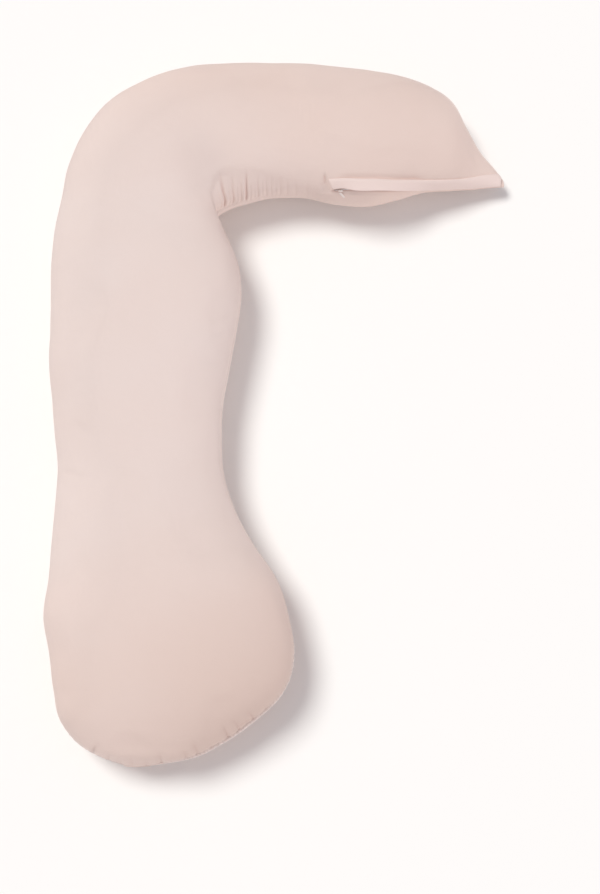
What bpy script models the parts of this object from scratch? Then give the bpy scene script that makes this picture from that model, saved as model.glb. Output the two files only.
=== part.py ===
"""An L-shaped pregnancy pillow, lying on its back, with a flap-covered zip at the end of its short arm.

Metres, +Z up. The origin is on the surface under the middle of the pillow's outline. The long arm runs
along Y with its full foot at -Y, and the short arm turns from its head towards +X.
"""

import math
from typing import NamedTuple

import bmesh
import bpy
import numpy as np
from mathutils import Matrix, Vector

# Sizes of the filled body
PANEL_STEPS = 18
SEAM_LINES = (0.0, 0.005, 0.012, 0.022)
CLOSEST_PANEL = 0.150
UPPER_SQUARENESS = 2.15
LOWER_SQUARENESS = 2.35
FLOOR_TURN = 0.008
SEAM_DEPTH = 0.0045
SEAM_WIDTH_ABOVE = 0.014
SEAM_WIDTH_BELOW = 0.006
FULL_SEAM_THICKNESS = 0.080
GATHER_REACH = 0.065
GATHER_FLOOR = 0.006
FINE_PLACES = 1200
FINE_POINTS = 400
SPOT_REACH = 0.6
FRAME_STEP = 0.002

# Sizes of the zip and of the flap that covers it
PIECE_GAP = 0.0005
ZIP_START = 0.226
ZIP_END = 0.548
ZIP_FADE = 0.012
GROOVE_DEPTH = 0.0042
GROOVE_WIDTH = 0.0050
FLAP_WIDTH = 0.025
FLAP_THICKNESS = 0.0024
FLAP_OVERHANG = 0.0010
FLAP_LIFT = 0.0022
FLAP_LIFT_LENGTH = 0.045
FLAP_SLANT = 0.011
FLAP_PANEL_SHARE = 0.8
FLAP_COLUMNS = 42
FLAP_ROWS = 8
CHAIN_RADIUS = 0.0015
CHAIN_DEPTH = 0.0020
CHAIN_END = 0.470
CHAIN_STEPS = 40
SLIDER_ALONG = 0.239
SLIDER_SIZE = (0.0090, 0.0050, 0.0030)
SLIDER_BEVEL = 0.0008
BEVEL_SHARE = 1 / 3
PULL_SIZE = (0.0045, 0.0170, 0.0012)
PULL_TURN = math.radians(24)


class Section(NamedTuple):
    """One cut across the pillow, in a vertical plane from its outer edge to its inner edge."""

    name: str
    outer_x: float
    outer_y: float
    inner_x: float
    inner_y: float
    top: float  # height of the crown above the floor
    seam: float  # height of the widest level, where the two panels meet
    under: float  # lowest point of the round, pressed flat where it is below the floor
    zip_rise: float  # how far above the widest level the inner seam runs
    rings: int  # rings from this cut to the next


SECTIONS = (
    Section("foot tip", -0.271, -0.647, -0.225, -0.647, 0.088, 0.080, 0.070, 0.000, 3),
    Section("foot end", -0.307, -0.635, -0.162, -0.637, 0.123, 0.081, 0.036, 0.000, 3),
    Section("foot rounding", -0.348, -0.613, -0.098, -0.608, 0.149, 0.083, 0.010, 0.000, 3),
    Section("foot corner", -0.382, -0.575, -0.041, -0.570, 0.175, 0.086, -0.008, 0.000, 3),
    Section("foot side", -0.398, -0.516, 0.010, -0.516, 0.194, 0.090, -0.014, 0.000, 2),
    Section("foot full", -0.406, -0.455, 0.027, -0.451, 0.201, 0.092, -0.016, 0.000, 2),
    Section("foot widest", -0.417, -0.388, 0.018, -0.388, 0.202, 0.093, -0.016, 0.000, 2),
    Section("foot shoulder", -0.411, -0.322, -0.003, -0.322, 0.197, 0.092, -0.016, 0.000, 2),
    Section("foot neck", -0.408, -0.251, -0.050, -0.251, 0.187, 0.089, -0.016, 0.000, 2),
    Section("neck start", -0.403, -0.178, -0.087, -0.178, 0.177, 0.086, -0.015, 0.000, 2),
    Section("neck", -0.400, -0.124, -0.102, -0.124, 0.173, 0.084, -0.015, 0.000, 2),
    Section("neck middle", -0.406, -0.064, -0.106, -0.069, 0.172, 0.084, -0.015, 0.000, 2),
    Section("back low", -0.413, -0.005, -0.103, -0.005, 0.175, 0.085, -0.015, 0.000, 2),
    Section("back middle", -0.420, 0.060, -0.092, 0.060, 0.180, 0.087, -0.016, 0.000, 2),
    Section("back high", -0.420, 0.126, -0.081, 0.126, 0.184, 0.089, -0.016, 0.000, 2),
    Section("hip widest", -0.420, 0.197, -0.070, 0.201, 0.188, 0.090, -0.016, 0.000, 2),
    Section("hip top", -0.421, 0.264, -0.077, 0.264, 0.188, 0.090, -0.016, 0.000, 2),
    Section("crook below", -0.415, 0.321, -0.100, 0.321, 0.185, 0.090, -0.016, 0.000, 3),
    Section("crook first", -0.404, 0.382, -0.113, 0.350, 0.183, 0.089, -0.016, 0.000, 3),
    Section("crook corner", -0.394, 0.444, -0.118, 0.355, 0.182, 0.088, -0.016, 0.000, 3),
    Section("bend first", -0.366, 0.511, -0.117, 0.357, 0.182, 0.087, -0.016, 0.000, 3),
    Section("bend middle", -0.321, 0.572, -0.114, 0.360, 0.181, 0.086, -0.016, 0.000, 3),
    Section("bend last", -0.253, 0.614, -0.108, 0.364, 0.179, 0.085, -0.016, 0.000, 3),
    Section("arm root", -0.174, 0.640, -0.095, 0.371, 0.177, 0.084, -0.016, 0.000, 7),
    Section("arm gathers", -0.099, 0.647, -0.069, 0.380, 0.175, 0.083, -0.015, 0.000, 11),
    Section("arm start", -0.023, 0.648, -0.019, 0.392, 0.172, 0.082, -0.015, 0.000, 11),
    Section("arm middle", 0.046, 0.648, 0.046, 0.393, 0.170, 0.081, -0.014, 0.006, 5),
    Section("zip start", 0.112, 0.642, 0.107, 0.382, 0.168, 0.079, -0.014, 0.038, 4),
    Section("zip bulge", 0.172, 0.635, 0.163, 0.380, 0.163, 0.076, -0.013, 0.042, 4),
    Section("zip middle", 0.228, 0.627, 0.218, 0.394, 0.152, 0.070, -0.012, 0.026, 4),
    Section("end rounding", 0.285, 0.610, 0.270, 0.409, 0.134, 0.061, -0.010, 0.008, 3),
    Section("end slope", 0.326, 0.583, 0.311, 0.415, 0.115, 0.053, -0.007, 0.002, 3),
    Section("end low", 0.349, 0.541, 0.341, 0.419, 0.090, 0.044, -0.002, 0.000, 3),
    Section("corner start", 0.379, 0.492, 0.367, 0.422, 0.064, 0.037, 0.008, 0.000, 3),
    Section("corner", 0.405, 0.462, 0.391, 0.425, 0.047, 0.033, 0.018, 0.000, 3),
    Section("corner tip", 0.418, 0.444, 0.421, 0.427, 0.036, 0.031, 0.026, 0.000, 0),
)
CROOK_CORNER = [section.name for section in SECTIONS].index("crook corner")


class Gather(NamedTuple):
    """One fold drawn into the top panel at the crook, square to the inner seam."""

    along: float  # from the crook's corner, along the inner seam
    depth: float
    width: float


GATHERS = (
    Gather(0.024, 0.0060, 0.0040),
    Gather(0.039, 0.0035, 0.0045),
    Gather(0.054, 0.0025, 0.0045),
    Gather(0.067, 0.0050, 0.0040),
    Gather(0.084, 0.0025, 0.0050),
    Gather(0.101, 0.0030, 0.0055),
    Gather(0.122, 0.0022, 0.0060),
    Gather(0.145, 0.0018, 0.0070),
)

# Finishes, as colour and roughness
CLOTH_FINISH = ((0.80, 0.63, 0.56, 1.0), 0.9)
CHAIN_FINISH = ((0.55, 0.38, 0.32, 1.0), 0.5)
SLIDER_FINISH = ((0.72, 0.55, 0.48, 1.0), 0.4)


def clear_scene():
    """Removes whatever the file opened with."""
    for item in list(bpy.data.objects):
        bpy.data.objects.remove(item, do_unlink=True)


def make_material(name, finish):
    """A plain Principled material of one colour."""
    colour, roughness = finish
    made = bpy.data.materials.new(name)
    made.use_nodes = True
    shader = made.node_tree.nodes["Principled BSDF"]
    shader.inputs["Base Color"].default_value = colour
    shader.inputs["Roughness"].default_value = roughness
    return made


class Skin:
    """The pillow's outer surface, read between the cuts along one smooth curve.

    A place is a distance along the pillow's middle line. A climb is a distance up the skin, measured
    from the inner seam over the top panel, and is negative below that seam.
    """

    def __init__(self):
        self.table = np.array([section[1:9] for section in SECTIONS])
        middles = (self.table[:, 0:2] + self.table[:, 2:4]) / 2
        steps = np.linalg.norm(np.diff(middles, axis=0), axis=1)[:, None]
        self.knots = np.concatenate([[0.0], np.cumsum(steps)])
        rates = np.diff(self.table, axis=0) / steps
        between = (rates[:-1] * steps[1:] + rates[1:] * steps[:-1]) / (steps[:-1] + steps[1:])
        self.slopes = np.concatenate([rates[:1], between, rates[-1:]])
        self.fine_places = np.linspace(self.knots[0], self.knots[-1], FINE_PLACES)
        cuts = [self.cut(place) for place in self.fine_places]
        edges = np.array([(cut.inner_x, cut.inner_y) for cut in cuts])
        walked = distances(edges)
        self.fine_along = walked - np.interp(self.knots[CROOK_CORNER], self.fine_places, walked)

    def cut(self, place):
        """The section at a place, on a cubic through the table's rows."""
        row = int(np.clip(np.searchsorted(self.knots, place) - 1, 0, len(self.knots) - 2))
        step = self.knots[row + 1] - self.knots[row]
        t = (place - self.knots[row]) / step
        before, after = self.table[row], self.table[row + 1]
        leaving, arriving = self.slopes[row] * step, self.slopes[row + 1] * step
        values = before + (after - before) * smooth_step(t)
        values = values + leaving * t * (1 - t) ** 2 - arriving * t * t * (1 - t)
        return Section("between", *values, 0)

    def place_of(self, along):
        """The place whose inner seam is this far from the crook's corner."""
        return float(np.interp(along, self.fine_along, self.fine_places))

    def along_of(self, place):
        """How far from the crook's corner the inner seam is at a place."""
        return float(np.interp(place, self.fine_places, self.fine_along))

    def drawn_in(self, place, cut, climb, outer_climb):
        """How far the cloth is pulled in by the seams, the zip and the gathers."""
        along = self.along_of(place)
        fade = smooth_step((cut.top - cut.under) / FULL_SEAM_THICKNESS)
        zip_here = smooth_step((along - ZIP_START) / ZIP_FADE + 1) * smooth_step((ZIP_END - along) / ZIP_FADE)
        groove = GROOVE_DEPTH * bell(climb, GROOVE_WIDTH)
        inner = (1 - zip_here) * seam_depth(climb) + zip_here * groove
        depth = fade * (inner + seam_depth(outer_climb))
        reach = smooth_step(climb / GATHER_FLOOR) * (1 - smooth_step(climb / GATHER_REACH))
        for gather in GATHERS:
            depth = depth + gather.depth * reach * bell(along - gather.along, gather.width)
        return depth

    def ring(self, place):
        """One closed ring of the body's mesh, from the inner seam over the top and back underneath."""
        cut = self.cut(place)
        start = seam_angle(cut)
        upper, upper_normals, upper_walked = half_ring(cut, start, math.pi)
        lower, lower_normals, lower_walked = half_ring(cut, math.pi, 2 * math.pi + start)
        outline = np.concatenate([upper[:-1], lower[:-1]])
        normals = np.concatenate([upper_normals[:-1], lower_normals[:-1]])
        climb = np.concatenate([upper_walked[:-1], lower_walked[:-1] - lower_walked[-1]])
        outer_climb = np.concatenate([upper_walked[-1] - upper_walked[:-1], -lower_walked[:-1]])
        depth = self.drawn_in(place, cut, climb, outer_climb)
        outline = outline - normals * depth[:, None]
        outline[:, 1] = rested(outline[:, 1])
        return in_space(cut, outline)

    def panel_width(self, along):
        """How wide the top panel is, over the crown, where the inner seam is this far along."""
        cut = self.cut(self.place_of(along))
        return distances(profile(cut, np.linspace(seam_angle(cut), math.pi, FINE_POINTS)))[-1]

    def spot(self, along, climb, lift):
        """A point at a height over the smooth skin, and the skin's outward normal there."""
        cut = self.cut(self.place_of(along))
        start = seam_angle(cut)
        outline = profile(cut, np.linspace(start - SPOT_REACH, math.pi, FINE_POINTS))
        walked = distances(outline)
        below = np.linspace(start - SPOT_REACH, start, FINE_POINTS)
        walked = walked - distances(profile(cut, below))[-1]
        flat = read_at(walked, outline, climb)
        outward = read_at(walked, outline_normals(outline), climb)
        outward = outward / np.linalg.norm(outward)
        here, above = in_space(cut, np.array([flat, flat + outward]))
        return Vector(here + (above - here) * lift), Vector(above - here)


def smooth_step(value):
    """0 up to zero, 1 from one, and smooth between them."""
    t = np.clip(value, 0.0, 1.0)
    return t * t * (3 - 2 * t)


def bell(value, width):
    """1 at zero, fading out over a width to both sides."""
    return np.exp(-((value / width) ** 2))


def seam_depth(climb):
    """How far a plain seam draws the cloth in: gently above it, and at once below it."""
    return SEAM_DEPTH * bell(climb, np.where(climb > 0, SEAM_WIDTH_ABOVE, SEAM_WIDTH_BELOW))


def power(value, squareness):
    """The superellipse's power of a sine or cosine, with its sign kept."""
    return np.sign(value) * np.abs(value) ** (2 / squareness)


def distances(points):
    """The distance walked along a line of points, up to each of them."""
    return np.concatenate([[0.0], np.cumsum(np.linalg.norm(np.diff(points, axis=0), axis=1))])


def read_at(walked, values, wanted):
    """Columns of values read at wanted distances along a line."""
    return np.stack([np.interp(wanted, walked, column) for column in values.T], axis=-1)


def seam_angle(cut):
    """The angle round the section at which the inner seam runs."""
    share = max(cut.zip_rise, 0.0) / (cut.top - cut.seam)
    return math.asin(min(1.0, share ** (UPPER_SQUARENESS / 2)))


def profile(cut, angles):
    """The section's smooth outline in its own plane: across, towards the inner edge, and height."""
    half_width = math.hypot(cut.inner_x - cut.outer_x, cut.inner_y - cut.outer_y) / 2
    upper = np.sin(angles) >= 0
    squareness = np.where(upper, UPPER_SQUARENESS, LOWER_SQUARENESS)
    reach = np.where(upper, cut.top - cut.seam, cut.seam - cut.under)
    across = half_width * power(np.cos(angles), squareness)
    return np.stack([across, cut.seam + reach * power(np.sin(angles), squareness)], axis=1)


def outline_normals(outline):
    """Outward normals of an outline that runs from the inner side over the top."""
    tangent = np.gradient(outline, axis=0)
    normals = np.stack([tangent[:, 1], -tangent[:, 0]], axis=1)
    return normals / np.linalg.norm(normals, axis=1)[:, None]


def half_ring(cut, first_angle, last_angle):
    """One panel's points from seam to seam, with their normals and the distances walked to them."""
    fine = profile(cut, np.linspace(first_angle, last_angle, FINE_POINTS))
    fine_walked = distances(fine)
    total = fine_walked[-1]
    near = np.array(SEAM_LINES) * min(1.0, total / CLOSEST_PANEL)
    between = np.linspace(near[-1], total - near[-1], PANEL_STEPS - 2 * len(near) + 3)
    wanted = np.concatenate([near[:-1], between, total - near[-2::-1]])
    normals = read_at(fine_walked, outline_normals(fine), wanted)
    return read_at(fine_walked, fine, wanted), normals, wanted


def rested(height):
    """Heights pressed flat by the floor, with a soft turn where the cloth leaves it."""
    turning = (height + FLOOR_TURN) ** 2 / (4 * FLOOR_TURN)
    return np.where(height > FLOOR_TURN, height, np.where(height < -FLOOR_TURN, 0.0, turning))


def in_space(cut, flat):
    """Points of the section's own plane as points in space."""
    outer = np.array((cut.outer_x, cut.outer_y))
    inner = np.array((cut.inner_x, cut.inner_y))
    towards_inner = (inner - outer) / np.linalg.norm(inner - outer)
    plan = (outer + inner) / 2 + flat[:, :1] * towards_inner
    return np.concatenate([plan, flat[:, 1:]], axis=1)


def mesh_object(name, shape, finish, collection):
    """A smooth-shaded object made from a bmesh."""
    mesh = bpy.data.meshes.new(name)
    shape.to_mesh(mesh)
    shape.free()
    mesh.shade_smooth()
    mesh.materials.append(finish)
    made = bpy.data.objects.new(name, mesh)
    collection.objects.link(made)
    return made


def build_body(skin, finish, collection):
    """The filled pillow, one solid: rings of cloth lofted from the foot round the bend to the corner."""
    places = []
    for row, section in enumerate(SECTIONS[:-1]):
        places.extend(np.linspace(skin.knots[row], skin.knots[row + 1], section.rings, endpoint=False))
    places.append(skin.knots[-1])
    shape = bmesh.new()
    rings = [[shape.verts.new(point) for point in skin.ring(place)] for place in places]
    around = len(rings[0])
    for before, after in zip(rings, rings[1:]):
        for k in range(around):
            following = (k + 1) % around
            shape.faces.new((before[k], before[following], after[following], after[k]))
    for ring in (rings[0], rings[-1]):
        for k in range(PANEL_STEPS):
            corners = (ring[k], ring[k + 1], ring[-k - 1], ring[-k])
            shape.faces.new(list(dict.fromkeys(corners)))
    bmesh.ops.recalc_face_normals(shape, faces=shape.faces)
    return mesh_object("pillow_body", shape, finish, collection)


def flap_lower_climb(along):
    """Where the flap's free edge lies: a little lifted at the zip's open end, so that the chain shows."""
    lifted = FLAP_LIFT * (1 - smooth_step((along - ZIP_START) / FLAP_LIFT_LENGTH))
    return lifted - FLAP_OVERHANG


def build_flap(skin, finish, collection):
    """The folded strip over the zip: an open patch on the body's skin, thickened outwards."""
    shape = bmesh.new()
    grid = []
    for row in range(FLAP_ROWS + 1):
        up = row / FLAP_ROWS
        start = ZIP_START - FLAP_SLANT * up
        line = []
        for column in range(FLAP_COLUMNS + 1):
            along = start + (ZIP_END - start) * column / FLAP_COLUMNS
            low = flap_lower_climb(along)
            high = min(FLAP_WIDTH, FLAP_PANEL_SHARE * skin.panel_width(along))
            point, _ = skin.spot(along, low + (high - low) * up, PIECE_GAP)
            line.append(shape.verts.new(point))
        grid.append(line)
    for lower, upper in zip(grid, grid[1:]):
        for k in range(FLAP_COLUMNS):
            shape.faces.new((lower[k], lower[k + 1], upper[k + 1], upper[k]))
    flap = mesh_object("zip_flap", shape, finish, collection)
    thickness = flap.modifiers.new("folded cloth", "SOLIDIFY")
    thickness.thickness = FLAP_THICKNESS
    thickness.offset = 1.0
    return flap


def build_chain(skin, finish, collection):
    """The closed zip's chain, lying in the groove between the flap's edge and the back panel."""
    curve = bpy.data.curves.new("zip_chain", "CURVE")
    curve.dimensions = "3D"
    curve.bevel_depth = CHAIN_RADIUS
    curve.bevel_resolution = 2
    curve.use_fill_caps = True
    spline = curve.splines.new("POLY")
    spline.points.add(CHAIN_STEPS)
    for k, point in enumerate(spline.points):
        along = ZIP_START + (CHAIN_END - ZIP_START) * k / CHAIN_STEPS
        spot, _ = skin.spot(along, 0.0, -CHAIN_DEPTH)
        point.co = (*spot, 1.0)
    curve.materials.append(finish)
    chain = bpy.data.objects.new("zip_chain", curve)
    collection.objects.link(chain)
    return chain


def skin_frame(skin, along, climb, lift):
    """A frame on the skin: X along the zip, Y up the skin, Z outwards."""
    here, outward = skin.spot(along, climb, lift)
    ahead, _ = skin.spot(along + FRAME_STEP, climb, lift)
    forward = (ahead - here).normalized()
    up = outward.cross(forward).normalized()
    forward = up.cross(outward)
    axes = Matrix((forward, up, outward)).transposed().to_4x4()
    return Matrix.Translation(here) @ axes


def build_block(name, size, place, finish, collection):
    """A small rounded block of a given length, width and height at a frame."""
    shape = bmesh.new()
    bmesh.ops.create_cube(shape, size=1.0)
    bmesh.ops.scale(shape, vec=size, verts=shape.verts)
    block = mesh_object(name, shape, finish, collection)
    rounding = block.modifiers.new("rounded edges", "BEVEL")
    rounding.width = min(SLIDER_BEVEL, BEVEL_SHARE * size[2])
    rounding.segments = 2
    block.matrix_world = place
    return block


def build_slider(skin, finish, collection):
    """The zip's slider below the flap's lifted end, and its pull tab lying on the back panel."""
    _, width, height = SLIDER_SIZE
    slider_climb = flap_lower_climb(SLIDER_ALONG) - PIECE_GAP - width / 2
    slider_lift = CHAIN_RADIUS - CHAIN_DEPTH + PIECE_GAP + height / 2
    slider_at = skin_frame(skin, SLIDER_ALONG, slider_climb, slider_lift)
    build_block("zip_slider", SLIDER_SIZE, slider_at, finish, collection)
    pull_width, pull_length, pull_thickness = PULL_SIZE
    pull_drop = pull_length / 2 * math.cos(PULL_TURN) + pull_width / 2 * math.sin(PULL_TURN)
    pull_climb = slider_climb - width / 2 - PIECE_GAP - pull_drop
    pull_along = SLIDER_ALONG + pull_length / 2 * math.sin(PULL_TURN)
    pull_at = skin_frame(skin, pull_along, pull_climb, PIECE_GAP + pull_thickness / 2)
    pull_at = pull_at @ Matrix.Rotation(PULL_TURN, 4, "Z")
    build_block("zip_pull", PULL_SIZE, pull_at, finish, collection)


def main():
    """Builds the pillow and its zip in one collection."""
    clear_scene()
    collection = bpy.data.collections.new("pregnancy_pillow")
    bpy.context.scene.collection.children.link(collection)
    cloth = make_material("pink_jersey", CLOTH_FINISH)
    chain = make_material("zip_coil", CHAIN_FINISH)
    slider = make_material("zip_metal", SLIDER_FINISH)
    skin = Skin()
    build_body(skin, cloth, collection)
    build_flap(skin, cloth, collection)
    build_chain(skin, chain, collection)
    build_slider(skin, slider, collection)


main()
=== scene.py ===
"""Looks of the L-shaped pregnancy pillow: its jersey cover, zip, stitching and the studio it lies in.

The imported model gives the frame. The soft body and the zip's small parts are made again here in full
detail, each in the place of the plain solid that it stands for.
"""

from __future__ import annotations

import logging
import math
import sys
from dataclasses import dataclass
from enum import Enum
from typing import NamedTuple

import bmesh
import bpy
import numpy as np
from mathutils import Matrix, Vector, noise


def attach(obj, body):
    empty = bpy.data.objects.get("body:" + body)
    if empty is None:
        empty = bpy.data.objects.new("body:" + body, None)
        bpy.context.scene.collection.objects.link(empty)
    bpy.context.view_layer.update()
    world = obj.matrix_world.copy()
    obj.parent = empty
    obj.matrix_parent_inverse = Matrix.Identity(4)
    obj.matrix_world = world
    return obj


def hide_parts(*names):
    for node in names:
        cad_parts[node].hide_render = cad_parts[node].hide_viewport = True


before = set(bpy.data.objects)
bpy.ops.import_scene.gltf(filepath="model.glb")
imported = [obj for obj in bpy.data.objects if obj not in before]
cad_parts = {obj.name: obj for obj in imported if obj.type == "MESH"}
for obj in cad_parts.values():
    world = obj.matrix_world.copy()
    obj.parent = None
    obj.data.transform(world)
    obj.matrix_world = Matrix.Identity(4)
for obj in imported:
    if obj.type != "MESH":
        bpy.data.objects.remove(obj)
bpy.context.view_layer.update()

log = logging.getLogger("pregnancy_pillow")


class Section(NamedTuple):
    """One cut across the pillow, in a vertical plane from its outer edge to its inner edge, in metres.

    The columns are those of the solid model, and the last two say how far each seam is drawn in.
    """

    name: str
    outer_x: float
    outer_y: float
    inner_x: float
    inner_y: float
    top: float
    seam: float
    under: float
    zip_rise: float
    outer_draw: float
    inner_draw: float


SECTIONS = (
    Section("foot tip", -0.271, -0.647, -0.225, -0.647, 0.088, 0.080, 0.070, 0.003, 0.0050, 0.0050),
    Section("foot end", -0.307, -0.635, -0.162, -0.637, 0.123, 0.081, 0.036, 0.005, 0.0075, 0.0050),
    Section("foot rounding", -0.348, -0.613, -0.098, -0.608, 0.149, 0.083, 0.010, 0.011, 0.0070, 0.0045),
    Section("foot corner", -0.382, -0.575, -0.041, -0.570, 0.175, 0.086, -0.008, 0.012, 0.0055, 0.0042),
    Section("foot side", -0.398, -0.516, 0.010, -0.516, 0.194, 0.090, -0.014, 0.008, 0.0045, 0.0038),
    Section("foot full", -0.406, -0.455, 0.027, -0.451, 0.201, 0.092, -0.016, 0.000, 0.0045, 0.0035),
    Section("foot widest", -0.417, -0.388, 0.018, -0.388, 0.202, 0.093, -0.016, 0.000, 0.0045, 0.0030),
    Section("foot shoulder", -0.411, -0.322, -0.003, -0.322, 0.197, 0.092, -0.016, 0.000, 0.0055, 0.0030),
    Section("foot neck", -0.408, -0.251, -0.050, -0.251, 0.187, 0.089, -0.016, 0.000, 0.0065, 0.0030),
    Section("neck start", -0.403, -0.178, -0.087, -0.178, 0.177, 0.086, -0.015, 0.000, 0.0070, 0.0030),
    Section("neck", -0.400, -0.124, -0.102, -0.124, 0.173, 0.084, -0.015, 0.000, 0.0070, 0.0030),
    Section("neck middle", -0.406, -0.064, -0.106, -0.069, 0.172, 0.084, -0.015, 0.000, 0.0065, 0.0030),
    Section("back low", -0.413, -0.005, -0.103, -0.005, 0.175, 0.085, -0.015, 0.000, 0.0060, 0.0030),
    Section("back middle", -0.420, 0.060, -0.092, 0.060, 0.180, 0.087, -0.016, 0.000, 0.0050, 0.0035),
    Section("back high", -0.420, 0.126, -0.081, 0.126, 0.184, 0.089, -0.016, 0.000, 0.0045, 0.0040),
    Section("hip widest", -0.420, 0.197, -0.070, 0.201, 0.188, 0.090, -0.016, 0.000, 0.0040, 0.0035),
    Section("hip top", -0.421, 0.264, -0.077, 0.264, 0.188, 0.090, -0.016, 0.000, 0.0040, 0.0035),
    Section("crook below", -0.415, 0.321, -0.100, 0.321, 0.185, 0.090, -0.016, 0.000, 0.0035, 0.0035),
    Section("crook first", -0.404, 0.382, -0.113, 0.350, 0.183, 0.089, -0.016, 0.000, 0.0035, 0.0026),
    Section("crook corner", -0.394, 0.444, -0.118, 0.355, 0.182, 0.088, -0.016, 0.000, 0.0035, 0.0020),
    Section("bend first", -0.366, 0.511, -0.117, 0.357, 0.182, 0.087, -0.016, 0.000, 0.0035, 0.0016),
    Section("bend middle", -0.321, 0.572, -0.114, 0.360, 0.181, 0.086, -0.016, 0.000, 0.0035, 0.0014),
    Section("bend last", -0.253, 0.614, -0.108, 0.364, 0.179, 0.085, -0.016, 0.000, 0.0035, 0.0012),
    Section("arm root", -0.174, 0.640, -0.095, 0.371, 0.177, 0.084, -0.016, 0.000, 0.0035, 0.0010),
    Section("arm gathers", -0.099, 0.647, -0.069, 0.380, 0.175, 0.083, -0.015, 0.000, 0.0035, 0.0009),
    Section("arm start", -0.023, 0.648, -0.019, 0.392, 0.172, 0.082, -0.015, 0.000, 0.0035, 0.0008),
    Section("arm middle", 0.046, 0.648, 0.046, 0.393, 0.170, 0.081, -0.014, 0.006, 0.0035, 0.0004),
    Section("zip start", 0.112, 0.642, 0.107, 0.382, 0.168, 0.079, -0.014, 0.038, 0.0035, 0.0004),
    Section("zip bulge", 0.172, 0.635, 0.163, 0.380, 0.163, 0.076, -0.013, 0.042, 0.0035, 0.0045),
    Section("zip middle", 0.228, 0.627, 0.218, 0.394, 0.152, 0.070, -0.012, 0.026, 0.0035, 0.0045),
    Section("end rounding", 0.285, 0.610, 0.270, 0.409, 0.134, 0.061, -0.010, 0.008, 0.0035, 0.0045),
    Section("end slope", 0.326, 0.583, 0.311, 0.415, 0.115, 0.053, -0.007, 0.002, 0.0035, 0.0045),
    Section("end low", 0.349, 0.541, 0.341, 0.419, 0.090, 0.044, -0.002, 0.000, 0.0030, 0.0040),
    Section("corner start", 0.379, 0.492, 0.367, 0.422, 0.064, 0.037, 0.008, 0.000, 0.0025, 0.0030),
    Section("corner", 0.405, 0.462, 0.391, 0.425, 0.047, 0.033, 0.018, 0.000, 0.0015, 0.0020),
    Section("corner tip", 0.418, 0.444, 0.421, 0.427, 0.036, 0.031, 0.026, 0.000, 0.0010, 0.0010),
)
CROOK_CORNER = [section.name for section in SECTIONS].index("crook corner")
FOOT_FOCUS = 1.2


def smooth_step(value: np.ndarray | float) -> np.ndarray | float:
    """0 up to zero, 1 from one, and smooth between them."""
    t = np.clip(value, 0.0, 1.0)
    return t * t * (3 - 2 * t)


def bell(value: np.ndarray | float, width: float | np.ndarray) -> np.ndarray | float:
    """1 at zero, fading out softly over a width to both sides."""
    return np.exp(-((value / width) ** 2))


def crease(value: np.ndarray | float, width: float | np.ndarray) -> np.ndarray | float:
    """1 at zero with a sharp bottom, fading out over a width to both sides, as a fold in cloth does."""
    return np.exp(-np.sqrt((value / width) ** 2 + 0.02) + math.sqrt(0.02))


def distances(points: np.ndarray) -> np.ndarray:
    """The distance walked along a line of points, up to each of them."""
    return np.concatenate([[0.0], np.cumsum(np.linalg.norm(np.diff(points, axis=0), axis=1))])


def read_at(walked: np.ndarray, values: np.ndarray, wanted: np.ndarray | float) -> np.ndarray:
    """Reads columns of values at wanted distances along a line.

    Args:
        walked: The distance at each row of values.
        values: One row per point of the line.
        wanted: The distances to read at.

    Returns:
        The values there, one column for each of the given columns.
    """
    return np.stack([np.interp(wanted, walked, column) for column in values.T], axis=-1)


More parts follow.
